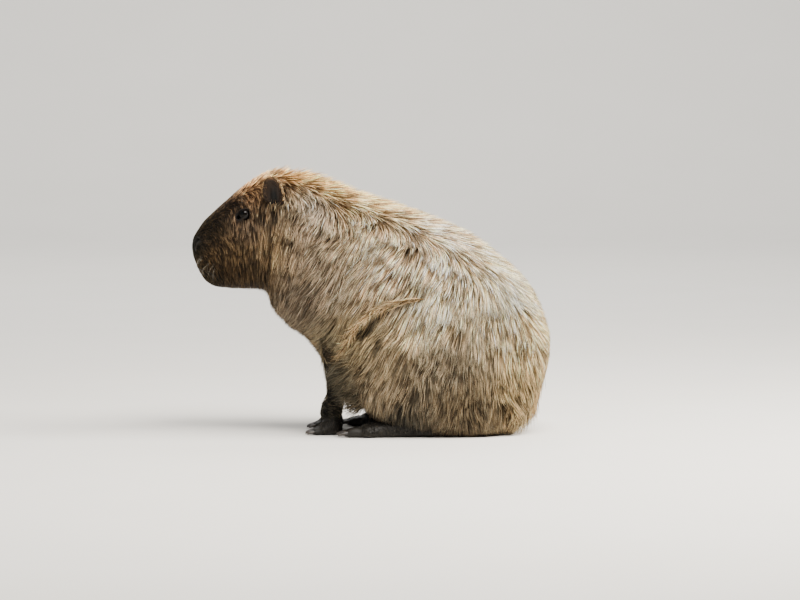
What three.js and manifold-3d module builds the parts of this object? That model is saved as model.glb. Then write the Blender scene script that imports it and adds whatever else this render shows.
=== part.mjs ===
// A capybara sitting on its haunches, life size, as a still museum model.
// Millimetres, +Z up. It faces -X, its left side is at -Y, and it sits on the plane z = 0.
import * as THREE from "three";
import { mergeVertices } from "three/addons/utils/BufferGeometryUtils.js";
import Module from "manifold-3d";

const wasm = await Module();
wasm.setup();

// Driving dimensions. A section is a cut through the body: its highest and lowest points
// [x, z], its half width, how much wider it is below than above, how square it is, the depth of
// the coat there, and how the coat lies at its top, side and underside, in degrees from straight
// back along the body (0) to straight down its side (90). Where it sits on the floor the coat
// under it is pressed flat. out is how far its middle lies from the animal's middle plane.
const section = (top, low, half, egg, square, coat, lie, out = 0) => ({
  top,
  low,
  half,
  egg,
  square,
  coat,
  under: low[1] > 0 ? coat : 0,
  lieTop: lie[0],
  lieSide: lie[1],
  lieUnder: lie[2],
  out,
});

const BODY = [
  section([-373, 388], [-373, 388], 0, 0, 2.6, 2, [0, 60, 40]),
  section([-354, 431], [-353, 330], 41, 0.0, 2.7, 3, [0, 40, 30]),
  section([-328, 459], [-330, 307], 51, 0.04, 2.6, 4, [0, 50, 30]),
  section([-298, 486], [-299, 301], 57, 0.12, 2.4, 6, [0, 60, 30]),
  section([-262, 517], [-264, 299], 66, 0.18, 2.3, 9, [0, 66, 30]),
  section([-224, 541], [-234, 299], 74, 0.18, 2.2, 13, [0, 70, 40]),
  section([-180, 553], [-213, 290], 79, 0.14, 2.2, 18, [0, 74, 50]),
  section([-122, 541], [-200, 265], 89, 0.12, 2.2, 24, [0, 74, 60]),
  section([-54, 514], [-172, 230], 108, 0.12, 2.2, 24, [0, 84, 60]),
  section([26, 488], [-126, 193], 129, 0.1, 2.2, 24, [0, 96, 60]),
  section([104, 461], [-84, 134], 147, 0.1, 2.2, 24, [0, 96, 60]),
  section([182, 430], [-14, 74], 158, 0.12, 2.2, 24, [0, 88, 60]),
  section([256, 384], [62, 30], 166, 0.14, 2.2, 24, [0, 74, 60]),
  section([322, 320], [150, 2], 164, 0.16, 2.2, 24, [0, 62, 60]),
  section([362, 248], [228, -3], 150, 0.14, 2.2, 24, [0, 50, 60]),
  section([374, 176], [296, -3], 113, 0.1, 2.1, 22, [0, 40, 60]),
  section([351, 80], [351, 80], 0, 0, 2, 20, [0, 40, 60]),
];

const THIGH = [
  section([-58, 152], [-58, 152], 0, 0, 2, 18, [170, 128, 60], 108),
  section([-38, 206], [-40, 104], 38, 0.1, 2.1, 20, [172, 126, 62], 110),
  section([14, 262], [-4, 50], 60, 0.14, 2.2, 24, [174, 118, 66], 108),
  section([84, 288], [60, 12], 74, 0.16, 2.2, 24, [166, 108, 76], 103),
  section([164, 296], [150, -3], 78, 0.16, 2.2, 24, [130, 97, 84], 100),
  section([246, 268], [240, -3], 72, 0.16, 2.2, 24, [80, 88, 88], 92),
  section([316, 206], [306, 30], 50, 0.1, 2.1, 22, [60, 82, 88], 78),
  section([344, 120], [344, 120], 0, 0, 2, 20, [60, 80, 88], 66),
];

const SHORT = [0, 90, 60];
const FORELEG = [
  section([-76, 250], [-76, 250], 0, 0, 2, 10, SHORT, 70),
  section([-108, 228], [-34, 232], 30, 0, 2.1, 8, SHORT, 71),
  section([-104, 164], [-32, 160], 26, 0, 2.1, 8, SHORT, 71),
  section([-92, 112], [-44, 106], 21, 0, 2.1, 6, SHORT, 70),
  section([-92, 76], [-53, 72], 18, 0, 2.1, 4, SHORT, 69),
  section([-104, 44], [-60, 36], 19, 0, 2.1, 3, SHORT, 68),
  section([-84, 18], [-84, 18], 0, 0, 2, 2, SHORT, 68),
];

const FRONT_FOOT = [
  section([-56, 16], [-56, 16], 0, 0, 2, 1, SHORT, 68),
  section([-66, 38], [-62, -3], 19, 0.1, 2.3, 1, SHORT, 68),
  section([-86, 34], [-84, -3], 27, 0.2, 2.3, 1, SHORT, 68),
  section([-104, 22], [-103, -3], 27, 0.1, 2.2, 1, SHORT, 68),
  section([-113, 10], [-113, 10], 0, 0, 2, 1, SHORT, 68),
];

const HIND_FOOT = [
  section([152, 18], [152, 18], 0, 0, 2, 1, SHORT, 118),
  section([140, 42], [140, -3], 22, 0.1, 2.2, 2, SHORT, 118),
  section([86, 40], [86, -3], 24, 0.1, 2.3, 2, SHORT, 120),
  section([30, 34], [30, -3], 27, 0.15, 2.4, 1, SHORT, 121),
  section([-12, 26], [-12, -3], 32, 0.15, 2.4, 1, SHORT, 122),
  section([-28, 10], [-28, 10], 0, 0, 2, 1, SHORT, 122),
];

// Where the body is parted: which loft rows bound the neck, as shares of the body's sections.
const HEAD_ENDS = 6.4;
const NECK_ENDS = 9.2;

// The coat. CORE is the share of its depth that the flesh leaves out, which the locks then fill;
// on the head, whose hair is short, the flesh reaches out to the tips up to SHORT_HAIR_ENDS.
const CORE = 0.5;
const SHORT_HAIR_ENDS = 5.4;
const LOCK = { length: 132, width: 24, thick: 3.0, root: 0.95, steps: 3, sides: 3 };
const LOCK_SPACING = { along: 54, down: 84 };
const LOCK_VARIES = 0.12;
const TIP_GROWS = 6; // how many gaps a lock's tip is drawn out by, where it is grown
const EDGE_GROWS = 8; // and its thin edges, so that its faces move out by a whole gap
const SIDE_BY_SIDE = 0.46; // half of a lock's width as a share of the way to the next column
const SEED = 22;
const ROOTED = 0.72; // share of a lock that has to lie outside what covers it
const LOCK_INSET = 0.12; // how far from a parting, in sections, the outermost locks are rooted

const GAP = 0.5; // between a sub-part and the one that it meets
const FINEST = 0.02; // the shortest edge that a surface keeps
const FLOOR_BITE = 60; // how far below the floor the trimming block reaches
const WIDE = 900; // wider than the animal

// Features of the head.
const EYE = { x: -262, z: 458, radius: 13, deep: 6.5 };
const EAR = { x: -199, z: 500, height: 72, width: 46, thick: 15, lean: 0.3, turn: 0.42 };
const NOSTRIL = { z: 407, x: -362, size: [9, 4.5, 5.5] };
const MOUTH = { z: 332, drop: 12, bore: 2.2, back: -318 };

// Toes: how many, how far apart in angle, how long and thick, and their claws.
const FRONT_TOES = { count: 4, splay: 0.26, length: 26, thick: 8.5, claw: 11, root: -98, out: 68 };
const HIND_TOES = { count: 3, splay: 0.16, length: 40, thick: 11, claw: 15, root: -14, out: 122 };

const TOE_SUNK = 0.75; // half of a toe's whole length as a share of the length that shows
const TOE_PAD = 6; // how far a toe's round end would reach past its claw's root
const TOE_LIFT = 0.55;
const CLAW_HEIGHT = 0.72;

const SIDES = { left: -1, right: 1 };

const COLOURS = {
  coat: [0xa08466, 0.95],
  head: [0x7a5a3c, 0.9],
  skin: [0x2e2621, 0.7],
  eye: [0x0d0b0a, 0.12],
  claw: [0x1f1b18, 0.45],
};

const MIRRORED = ["top", "low"];
const PLAIN = ["egg", "square", "coat", "under", "out", "lieTop", "lieSide", "lieUnder"];

// The section before a loft's first or after its last, so that the loft closes in a round end:
// the neighbour mirrored through the end's own point.
function beyond(near) {
  return { ...near, top: near.low, low: near.top, half: -near.half };
}

// A smooth curve through four numbers, from the second to the third.
function smooth(a, b, c, d, t) {
  return (
    b +
    0.5 * t * (c - a + t * (2 * a - 5 * b + 4 * c - d + t * (3 * (b - c) + d - a)))
  );
}

// The section of a loft at place v, where 0 is the first section and 1 the second.
function sectionAt(loft, v) {
  const last = loft.length - 1;
  const i = Math.min(Math.floor(v), last - 1);
  const t = v - i;
  const four = [
    i > 0 ? loft[i - 1] : beyond(loft[1]),
    loft[i],
    loft[i + 1],
    i + 2 <= last ? loft[i + 2] : beyond(loft[last - 1]),
  ];
  const blend = (pick) => smooth(...four.map(pick), t);
  const result = { half: blend((s) => s.half) };
  for (const key of MIRRORED) result[key] = [blend((s) => s[key][0]), blend((s) => s[key][1])];
  for (const key of PLAIN) result[key] = blend((s) => s[key]);
  return result;
}

// The point of a loft at place v and turn a, where a = 0 is its top and a quarter turn its outer
// side. The coat's depth times share is left out, and grow is added.
function loftPoint(loft, v, a, share, grow = 0) {
  const s = sectionAt(loft, v);
  const tall = Math.max(Math.hypot(s.top[0] - s.low[0], s.top[1] - s.low[1]), 1);
  const above = (grow - share * s.coat) / tall;
  const below = (grow - share * s.under) / tall;
  const wide = Math.max(s.half + grow - share * s.coat, 0.02 * s.half);
  const [c, w] = [Math.cos(a), Math.sin(a)];
  const k = (Math.abs(c) ** s.square + Math.abs(w) ** s.square) ** (-1 / s.square);
  const rise = THREE.MathUtils.lerp(-below, 1 + above, (1 + k * c) / 2);
  return new THREE.Vector3(
    THREE.MathUtils.lerp(s.low[0], s.top[0], rise),
    s.out + wide * k * w * (1 - s.egg * k * c),
    THREE.MathUtils.lerp(s.low[1], s.top[1], rise),
  );
}

// How far an end of a loft is drawn in or out when the coat is left out or a gap is added.
function endPoint(loft, first, share, grow) {
  const [end, next] = first ? [loft[0], loft[1]] : [loft.at(-1), loft.at(-2)];
  const point = new THREE.Vector3(end.top[0], end.out, end.top[1]);
  const middle = new THREE.Vector3(
    (next.top[0] + next.low[0]) / 2,
    next.out,
    (next.top[1] + next.low[1]) / 2,
  );
  const outward = point.clone().sub(middle).normalize();
  return point.addScaledVector(outward, grow - share * end.coat);
}

// The share of the coat's depth that the flesh leaves out at place v of a loft.
function fleshShare(loft, v) {
  if (loft !== BODY) return CORE;
  return CORE * THREE.MathUtils.smoothstep(v, SHORT_HAIR_ENDS, HEAD_ENDS);
}

// A closed surface over a loft: a sphere whose rows are laid along the loft.
function loftGeometry(loft, side, sides, rows, grow = 0) {
  const geometry = new THREE.SphereGeometry(1, sides, rows);
  const place = geometry.getAttribute("position");
  const last = loft.length - 1;
  for (let i = 0; i < place.count; i++) {
    const row = Math.floor(i / (sides + 1));
    const turn = ((i % (sides + 1)) / sides) * 2 * Math.PI;
    const v = (row / rows) * last;
    const share = fleshShare(loft, v);
    const p =
      row === 0 || row === rows
        ? endPoint(loft, row === 0, share, grow)
        : loftPoint(loft, v, turn, share, grow);
    place.setXYZ(i, p.x, p.y * side, p.z);
  }
  return geometry;
}

// A closed three.js geometry as a solid, with its shared vertices merged.
function solid(geometry) {
  const bare = geometry.clone();
  bare.deleteAttribute("normal");
  bare.deleteAttribute("uv");
  const merged = mergeVertices(bare, 1e-3);
  const corners = merged.index.array;
  const faces = [];
  for (let i = 0; i < corners.length; i += 3) {
    const [a, b, c] = corners.slice(i, i + 3);
    if (a !== b && b !== c && a !== c) faces.push(a, b, c);
  }
  const vertProperties = new Float32Array(merged.getAttribute("position").array);
  const made = (order) =>
    new wasm.Manifold(
      new wasm.Mesh({ numProp: 3, vertProperties, triVerts: new Uint32Array(order) }),
    );
  const whole = made(faces);
  if (whole.volume() > 0) return whole;
  const turned = [];
  for (let i = 0; i < faces.length; i += 3) turned.push(faces[i], faces[i + 2], faces[i + 1]);
  return made(turned);
}

// A solid joined from several that overlap.
function joined(solids) {
  return solids.reduce((whole, piece) => whole.add(piece));
}

// The solid cut clear of the others.
function clearOf(whole, others) {
  return others.reduce((left, other) => left.subtract(other), whole);
}

// Only the largest closed body of a solid.
function largest(whole) {
  return whole.decompose().reduce((best, b) => (b.volume() > best.volume() ? b : best));
}

// Seeded chance: each call gives the next number from 0 to 1.
function chance(seed) {
  let state = seed;
  return () => {
    state = (state + 0x6d2b79f5) | 0;
    let t = Math.imul(state ^ (state >>> 15), 1 | state);
    t = (t + Math.imul(t ^ (t >>> 7), 61 | t)) ^ t;
    return ((t ^ (t >>> 14)) >>> 0) / 4294967296;
  };
}

// The way the coat lies at turn a of a section, as an angle from back along the body.
function lieAt(s, a) {
  const down = THREE.MathUtils.smoothstep(a, 0.2, 1.0);
  const under = THREE.MathUtils.smoothstep(a, 1.9, 2.9);
  const side = THREE.MathUtils.lerp(s.lieTop, s.lieSide, down);
  return THREE.MathUtils.degToRad(THREE.MathUtils.lerp(side, s.lieUnder, under));
}

// Carries a point over a loft from v, a along the lie of the coat: the rows of a lock, each with
// its middle, its outward way and the way across it.
function lockPath(loft, v, a, length, bend) {
  const rows = [];
  const last = loft.length - 1;
  const small = 0.01;
  for (let i = 0; i <= LOCK.steps; i++) {
    const t = i / LOCK.steps;
    const share = LOCK.root * (1 - t) ** 0.9;
    const middle = loftPoint(loft, v, a, share);
    const along = loftPoint(loft, v + small, a, share).sub(middle).divideScalar(small);
    const round = loftPoint(loft, v, a + small, share).sub(middle).divideScalar(small);
    const turn = lieAt(sectionAt(loft, v), a) + bend * (t - 0.3);
    const ahead = along
      .clone()
      .normalize()
      .multiplyScalar(Math.cos(turn))
      .addScaledVector(round.clone().normalize(), Math.sin(turn))
      .normalize();
    const outward = round.clone().cross(along).normalize().multiplyScalar(-1);
    rows.push({ middle, outward, across: ahead.cross(outward).normalize() });
    const step = length / LOCK.steps;
    v = THREE.MathUtils.clamp(v + (step * Math.cos(turn)) / along.length(), 0.1, last - 0.1);
    a += (step * Math.sin(turn)) / round.length();
  }
  return rows;
}

// One flat, tapered lock: a cone of few sides bent along its path, widest near its first third.
function lock(side, { rows, width, thick }, grow = 0) {
  const geometry = new THREE.ConeGeometry(1, 1, LOCK.sides, LOCK.steps);
  const place = geometry.getAttribute("position");
  const spread = grow / Math.cos(Math.PI / LOCK.sides);
  const tip = rows[LOCK.steps].middle.clone();
  tip.addScaledVector(tip.clone().sub(rows[LOCK.steps - 1].middle).normalize(), TIP_GROWS * grow);
  for (let i = 0; i < place.count; i++) {
    const [x, y, z] = [place.getX(i), place.getY(i), place.getZ(i)];
    const t = y + 0.5;
    const row = rows[Math.round(t * LOCK.steps)];
    const round = Math.max(1 - t, 1e-6);
    const wide = (width * (0.55 + 1.6 * t) * (1 - t) ** 0.7 + EDGE_GROWS * grow) * (x / round);
    const deep = (thick * (1 - 0.6 * t) + spread) * (z / round);
    const p = t < 1 ? row.middle.clone() : tip;
    if (t < 1) p.addScaledVector(row.across, wide).addScaledVector(row.outward, deep);
    place.setXYZ(i, p.x, p.y * side, p.z);
  }
  return solid(geometry);
}

// The places at equal distances along a curve whose parameter runs from low to high.
function evenly(curve, low, high, count, shift) {
  const steps = 48;
  const at = (i) => low + ((high - low) * i) / steps;
  const sums = [0];
  for (let i = 1; i <= steps; i++) sums.push(sums[i - 1] + curve(at(i)).distanceTo(curve(at(i - 1))));
  const places = [];
  for (let j = 0; j < count; j++) {
    const goal = ((j + shift) / count) * sums[steps];
    const i = Math.max(sums.findIndex((sum) => sum >= goal), 1);
    places.push(at(i - 1 + (goal - sums[i - 1]) / (sums[i] - sums[i - 1])));
  }
  return places;
}

function curveLength(curve, low, high) {
  const steps = 48;
  let sum = 0;
  for (let i = 0; i < steps; i++)
    sum += curve(low + ((high - low) * i) / steps).distanceTo(
      curve(low + ((high - low) * (i + 1)) / steps),
    );
  return sum;
}

// The locks over one side of a stretch of a loft, in staggered columns down its side.
function locksOver(loft, from, to, seed, lowest = Math.PI) {
  const draw = chance(SEED + seed);
  const vary = () => 1 + LOCK_VARIES * (2 * draw() - 1);
  const spine = (v) => loftPoint(loft, v, Math.PI / 2, 0);
  const columns = Math.max(Math.round(curveLength(spine, from, to) / LOCK_SPACING.along), 1);
  const found = [];
  evenly(spine, from, to, columns, 0.5).forEach((v, i) => {
    const ring = (a) => loftPoint(loft, v, a, 0);
    const count = Math.round(curveLength(ring, 0, lowest) / LOCK_SPACING.down);
    for (const a of evenly(ring, 0, lowest, count, i % 2 ? 0.28 : 0.72)) {
      const near = loftPoint(loft, v + 0.1, a, 0).distanceTo(loftPoint(loft, v - 0.1, a, 0)) * 5;
      const share = (to - from) / columns;
      const width = Math.min(SIDE_BY_SIDE * near * share, LOCK.width * 1.35) * vary();
      const rows = lockPath(loft, v, a, LOCK.length * vary(), (draw() - 0.5) * 0.6);
      found.push({ rows, width: Math.max(width, LOCK.width * 0.7), thick: LOCK.thick * vary() });
    }
  });
  return found;
}

// Triangles whose corners are moved on to those that stand for them, less the triangles that this
// closes up and the pairs that come to lie back to back.
function redrawn(triangles, standIn) {
  const kept = new Map();
  for (const corners of triangles) {
    const moved = corners.map(standIn);
    if (new Set(moved).size < 3) continue;
    const key = [...moved].sort((a, b) => a - b).join();
    if (kept.has(key)) kept.delete(key);
    else kept.set(key, moved);
  }
  return [...kept.values()];
}

// An edge that more than two triangles share, where there is one.
function crowdedEdge(triangles) {
  const counts = new Map();
  for (const corners of triangles) {
    for (let k = 0; k < 3; k++) {
      const edge = [corners[k], corners[(k + 1) % 3]].sort((a, b) => a - b);
      const count = (counts.get(edge.join()) ?? 0) + 1;
      if (count > 2) return edge;
      counts.set(edge.join(), count);
    }
  }
  return null;
}

// For each point, the first point that lies nearer to it than the finest edge, or itself.
function nearestKept(points) {
  const kept = new Map();
  const around = [-1, 0, 1];
  const shifts = around.flatMap((x) => around.flatMap((y) => around.map((z) => [x, y, z])));
  const cell = (p, shift) => shift.map((by, k) => Math.floor(p[k] / FINEST) + by).join();
  return points.map((p, i) => {
    const close = shifts
      .map((shift) => kept.get(cell(p, shift)))
      .find((j) => j !== undefined && Math.hypot(...p.map((x, k) => x - points[j][k])) < FINEST);
    if (close === undefined) kept.set(cell(p, [0, 0, 0]), i);
    return close ?? i;
  });
}

// A solid whose finest edges are drawn together and none of whose edges is shared by more than
// two triangles.
function welded(whole) {
  const made = whole.getMesh();
  const points = [];
  for (let i = 0; i < made.vertProperties.length; i += 3)
    points.push([...made.vertProperties.slice(i, i + 3)]);
  const all = [];
  for (let i = 0; i < made.triVerts.length; i += 3) all.push([...made.triVerts.slice(i, i + 3)]);
  const stands = nearestKept(points);
  let triangles = redrawn(all, (j) => stands[j]);
  for (let edge = crowdedEdge(triangles); edge; edge = crowdedEdge(triangles)) {
    const [stays, goes] = edge;
    triangles = redrawn(triangles, (j) => (j === goes ? stays : j));
  }
  const triVerts = new Uint32Array(triangles.flat());
  const vertProperties = made.vertProperties;
  return new wasm.Manifold(new wasm.Mesh({ numProp: 3, vertProperties, triVerts }));
}

// A block that takes off all that lies below the floor.
const belowFloor = solid(
  new THREE.BoxGeometry(WIDE * 2, WIDE * 2, FLOOR_BITE).translate(0, 0, -FLOOR_BITE / 2),
);

// A wedge of space between two places along the body, shrunk by a gap at each of its cuts.
function stretchOfBody(from, to) {
  const cut = (v, way) => {
    const s = sectionAt(BODY, v);
    const up = new THREE.Vector3(s.top[0] - s.low[0], 0, s.top[1] - s.low[1]).normalize();
    const ahead = new THREE.Vector3(up.z, 0, -up.x).multiplyScalar(way);
    const middle = new THREE.Vector3(
      (s.top[0] + s.low[0]) / 2,
      0,
      (s.top[1] + s.low[1]) / 2,
    ).addScaledVector(ahead, (WIDE - GAP) / 2);
    const slab = new THREE.BoxGeometry(WIDE, WIDE * 2, WIDE * 3);
    const turn = Math.atan2(up.x, up.z);
    return solid(slab.rotateY(turn).translate(...middle.toArray()));
  };
  const ends = [];
  if (from > 0) ends.push(cut(from, -1));
  if (to < BODY.length - 1) ends.push(cut(to, 1));
  return ends;
}

function body(sides, rows, grow = 0) {
  return solid(loftGeometry(BODY, 1, sides, rows, grow));
}

function thigh(side, grow = 0) {
  return solid(loftGeometry(THIGH, side, 18, 14, grow));
}

function foreleg(side, grow = 0) {
  return solid(loftGeometry(FORELEG, side, 10, 12, grow));
}

// The place of the body's loft whose side seen from the left lies at x, z, and its outward way.
function bodySide(x, z) {
  let best = { far: Infinity };
  for (let v = 0.5; v < 8; v += 0.02) {
    for (let a = 0.15; a < 3; a += 0.02) {
      const p = loftPoint(BODY, v, a, 0);
      const far = Math.hypot(p.x - x, p.z - z);
      if (far < best.far) best = { far, p, v, a };
    }
  }
  const along = loftPoint(BODY, best.v + 0.02, best.a, 0).sub(best.p);
  const round = loftPoint(BODY, best.v, best.a + 0.02, 0).sub(best.p);
  return { point: best.p, outward: round.cross(along).normalize().multiplyScalar(-1) };
}

// Mirrors a point or direction on the animal's right on to one side.
function onSide(vector, side) {
  return new THREE.Vector3(vector.x, vector.y * side, vector.z);
}

function eyeCentre(side) {
  const { point, outward } = bodySide(EYE.x, EYE.z);
  if (outward.y < 0) outward.multiplyScalar(-1);
  const centre = point.addScaledVector(outward, -EYE.deep);
  return { centre: onSide(centre, side), outward: onSide(outward, side) };
}

function eyeball(side, grow = 0) {
  const { centre } = eyeCentre(side);
  return solid(new THREE.SphereGeometry(EYE.radius + grow, 12, 8).translate(...centre.toArray()));
}

// The rim of both lids, an almond ring pressed on to the head round the eye.
function eyelids(side) {
  const { centre, outward } = eyeCentre(side);
  const rim = new THREE.TorusGeometry(EYE.radius - 1, 4, 5, 14);
  rim.scale(1.15, 0.8, 1.3);
  rim.rotateZ(side * -0.4);
  const turn = new THREE.Quaternion().setFromUnitVectors(new THREE.Vector3(0, 0, 1), outward);
  rim.applyQuaternion(turn);
  centre.addScaledVector(outward, EYE.deep - 1);
  return solid(rim.translate(...centre.toArray()));
}

// A short bean that opens a nostril.
function nostril(side) {
  const { point } = bodySide(NOSTRIL.x, NOSTRIL.z);
  const bean = new THREE.SphereGeometry(1, 8, 6).scale(...NOSTRIL.size);
  bean.rotateY(0.7).rotateZ(side * -0.9);
  return solid(bean.translate(...onSide(point, side).toArray()));
}

// The line of the mouth: a groove that runs round the front of the muzzle and drops at the corners.
function mouthLine() {
  const points = [];
  for (const side of [-1, 1]) {
    const half = [];
    for (let i = 0; i <= 5; i++) {
      const x = THREE.MathUtils.lerp(MOUTH.back, -354, i / 5);
      const z = MOUTH.z - MOUTH.drop * (1 - i / 5) ** 2;
      half.push(onSide(bodySide(x, z).point, side));
    }
    points.push(...(side < 0 ? half : half.reverse()));
  }
  const bore = new THREE.Shape().absarc(0, 0, MOUTH.bore, 0, 2 * Math.PI);
  const path = new THREE.CatmullRomCurve3(points);
  return solid(
    new THREE.ExtrudeGeometry(bore, {
      steps: 16,
      curveSegments: 2,
      bevelEnabled: false,
      extrudePath: path,
    }),
  );
}

function head() {
  const flesh = clearOf(body(28, 48), stretchOfBody(0, HEAD_ENDS));
  const whole = joined([flesh, eyelids(-1), eyelids(1)]);
  return clearOf(whole, [
    eyeball(-1, GAP),
    eyeball(1, GAP),
    nostril(-1),
    nostril(1),
    mouthLine(),
  ]);
}

// One ear: a flat egg, hollowed on the side that opens forwards and outwards.
function ear(side, grow = 0) {
  const half = [EAR.width / 2 + grow, EAR.thick / 2 + grow, EAR.height / 2 + grow];
  const shell = new THREE.SphereGeometry(1, 16, 8).rotateX(Math.PI / 2).scale(...half);
  const whole = solid(shell);
  const bowl = new THREE.SphereGeometry(1, 12, 7).rotateX(Math.PI / 2);
  bowl.scale(half[0] * 0.74, half[1] * 0.9, half[2] * 0.78).translate(0, -half[1] * 0.85, 2);
  const cup = grow ? whole : whole.subtract(solid(bowl));
  const { point } = bodySide(EAR.x, EAR.z - EAR.height * 0.3);
  const turn = new THREE.Matrix4()
    .makeTranslation(EAR.x, side * (point.y + EAR.height * 0.3 * EAR.lean), EAR.z)
    .multiply(new THREE.Matrix4().makeRotationX(-side * EAR.lean))
    .multiply(new THREE.Matrix4().makeRotationZ(side < 0 ? -EAR.turn : Math.PI + EAR.turn));
  return cup.transform(turn.elements);
}

// The line of one toe: its root in the foot, its tip and the way it points.
function toeLine(side, toes, i) {
  const step = i - (toes.count - 1) / 2;
  const turn = step * toes.splay * side;
  const length = toes.length * (1 - 0.1 * Math.abs(step));
  const root = new THREE.Vector3(toes.root, side * (toes.out + step * toes.thick * 1.35), 0);
  const ahead = new THREE.Vector3(-Math.cos(turn), Math.sin(turn), 0);
  return { root, ahead, turn, tip: root.clone().addScaledVector(ahead, length) };
}

// One toe: a low round finger from inside the foot, cut off flat where its claw begins.
function toe(side, toes, i, grow = 0) {
  const { root, tip, ahead, turn } = toeLine(side, toes, i);
  const finger = new THREE.SphereGeometry(1, 8, 6).rotateZ(Math.PI / 2);
  const long = root.distanceTo(tip) * TOE_SUNK;
  finger.scale(long + grow, toes.thick + grow, toes.thick * 1.3 + grow);
  finger.rotateZ(-turn).translate(...tip.clone().addScaledVector(ahead, TOE_PAD - long).toArray());
  const front = new THREE.BoxGeometry(WIDE, WIDE, WIDE).translate(-WIDE / 2 - grow, 0, 0);
  front.rotateZ(-turn).translate(...tip.toArray());
  return solid(finger.translate(0, 0, toes.thick * TOE_LIFT)).subtract(solid(front));
}

// A foot: its own flesh and its toes, each sunk in it.
function footOf(side, loft, toes, grow = 0) {
  const all = [solid(loftGeometry(loft, side, 10, 7, grow))];
  for (let i = 0; i < toes.count; i++) all.push(toe(side, toes, i, grow));
  return joined(all);
}

// A blunt, hoof-like claw that carries on from the flat end of its toe.
function claw(side, toes, i) {
  const { tip, ahead, turn } = toeLine(side, toes, i);
  const horn = new THREE.CylinderGeometry(toes.thick * 0.26, toes.thick * 0.6, toes.claw, 6);
  horn.rotateZ(Math.PI / 2).scale(1, 1, 0.9).rotateZ(-turn);
  const middle = tip.clone().addScaledVector(ahead, toes.claw / 2 + GAP);
  return solid(horn.translate(middle.x, middle.y, toes.thick * CLAW_HEIGHT));
}

// Only the locks whose root lies mostly outside the solids that would cover them.
function uncovered(locks, side, covers) {
  return locks.filter((one) => {
    const whole = lock(side, one);
    const left = clearOf(whole, covers);
    return left.volume() > ROOTED * whole.volume();
  });
}

// A sub-part with its coat: the flesh with its locks joined on, and the same grown by the gap,
// which is what its neighbours are cut clear of.
function coated(flesh, around, locks) {
  const fused = (whole, grow) =>
    joined([whole, ...locks.map(({ side, one }) => lock(side, one, grow))]);
  return { whole: fused(flesh, 0), around: fused(around, GAP) };
}

// The locks of both sides of a stretch of the body, less those that the thighs cover.
function bodyLocks(from, to, seed) {
  return Object.values(SIDES).flatMap((side) => {
    const covers = [thigh(side, GAP), belowFloor];
    const found = locksOver(BODY, from, to, seed + side);
    return uncovered(found, side, covers).map((one) => ({ side, one }));
  });
}

function coatedStretch(from, to, seed) {
  const flesh = (grow) => clearOf(body(24, 32, grow), stretchOfBody(from, to));
  return coated(flesh(0), flesh(GAP), bodyLocks(from + LOCK_INSET, to - LOCK_INSET, seed));
}

function coatedThigh(side) {
  const inTorso = [body(24, 32)];
  const found = locksOver(THIGH, 0.35, THIGH.length - 1.6, 7 + side);
  const locks = uncovered(found, side, inTorso).map((one) => ({ side, one }));
  return coated(thigh(side), thigh(side, GAP), locks);
}

// Every sub-part, each cut clear of those that it meets.
function subParts() {
  const parts = new Map();
  const put = (name, whole, colour) => parts.set(name, { whole, colour });
  const thighs = { left: coatedThigh(-1), right: coatedThigh(1) };
  const thighsAround = [thighs.left.around, thighs.right.around];
  const ears = [ear(-1, GAP), ear(1, GAP)];
  const neck = coatedStretch(HEAD_ENDS, NECK_ENDS, 3);
  const torso = coatedStretch(NECK_ENDS, BODY.length - 1, 5);
  const headAround = clearOf(body(28, 48, GAP), stretchOfBody(0, HEAD_ENDS));
  put("head", clearOf(head(), ears), "head");
  put("neck", clearOf(neck.whole, [headAround, ...ears, ...thighsAround]), "coat");
  put("torso", clearOf(torso.whole, [neck.around, ...thighsAround]), "coat");
  for (const [name, side] of Object.entries(SIDES)) {
    const covers = [neck.around, torso.around, thighs[name].around];
    put(`eye_${name}`, eyeball(side), "eye");
    put(`ear_${name}`, ear(side), "head");
    put(`thigh_${name}`, thighs[name].whole, "coat");
    put(`foreleg_${name}`, clearOf(foreleg(side), covers), "skin");
    for (const [limb, loft, toes] of [
      ["front", FRONT_FOOT, FRONT_TOES],
      ["hind", HIND_FOOT, HIND_TOES],
    ]) {
      const others = limb === "front" ? [...covers, foreleg(side, GAP)] : covers;
      put(`${limb}_foot_${name}`, clearOf(footOf(side, loft, toes), others), "skin");
      for (let i = 0; i < toes.count; i++)
        put(`${limb}_claw_${name}_${i + 1}`, claw(side, toes, i), "claw");
    }
  }
  return parts;
}

// A solid as a three.js mesh with its name and colour.
function meshOf(name, whole, [colour, roughness]) {
  const trimmed = largest(whole.subtract(belowFloor)).simplify(FINEST);
  const made = largest(welded(trimmed)).getMesh();
  const geometry = new THREE.BufferGeometry();
  geometry.setAttribute("position", new THREE.BufferAttribute(made.vertProperties, 3));
  geometry.setIndex(new THREE.BufferAttribute(made.triVerts, 1));
  geometry.computeVertexNormals();
  const material = new THREE.MeshStandardMaterial({ color: colour, roughness, metalness: 0 });
  const mesh = new THREE.Mesh(geometry, material);
  mesh.name = name;
  return mesh;
}

const capybara = new THREE.Group();
for (const [name, { whole, colour }] of subParts())
  capybara.add(meshOf(name, whole, COLOURS[colour]));

// The origin is at the middle of the part's footprint, on the floor.
const box = new THREE.Box3().setFromObject(capybara);
capybara.position.set(-(box.min.x + box.max.x) / 2, -(box.min.y + box.max.y) / 2, -box.min.z);

export default capybara;
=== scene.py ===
"""A capybara sitting on its haunches, life size, as a still museum model.

One skin stands for all of its flesh. Over it lies a coat of thin solid tufts, and it has wet dark
eyes, hoof-like claws and pale whiskers. Lengths in the tables are millimetres in the frame of the
tables: +Z up, the nose along -X, the animal's left side at -Y and the floor at z = 0.
"""

import logging
import math
from dataclasses import dataclass, field
from enum import Enum
from functools import partial
from typing import Callable

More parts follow.
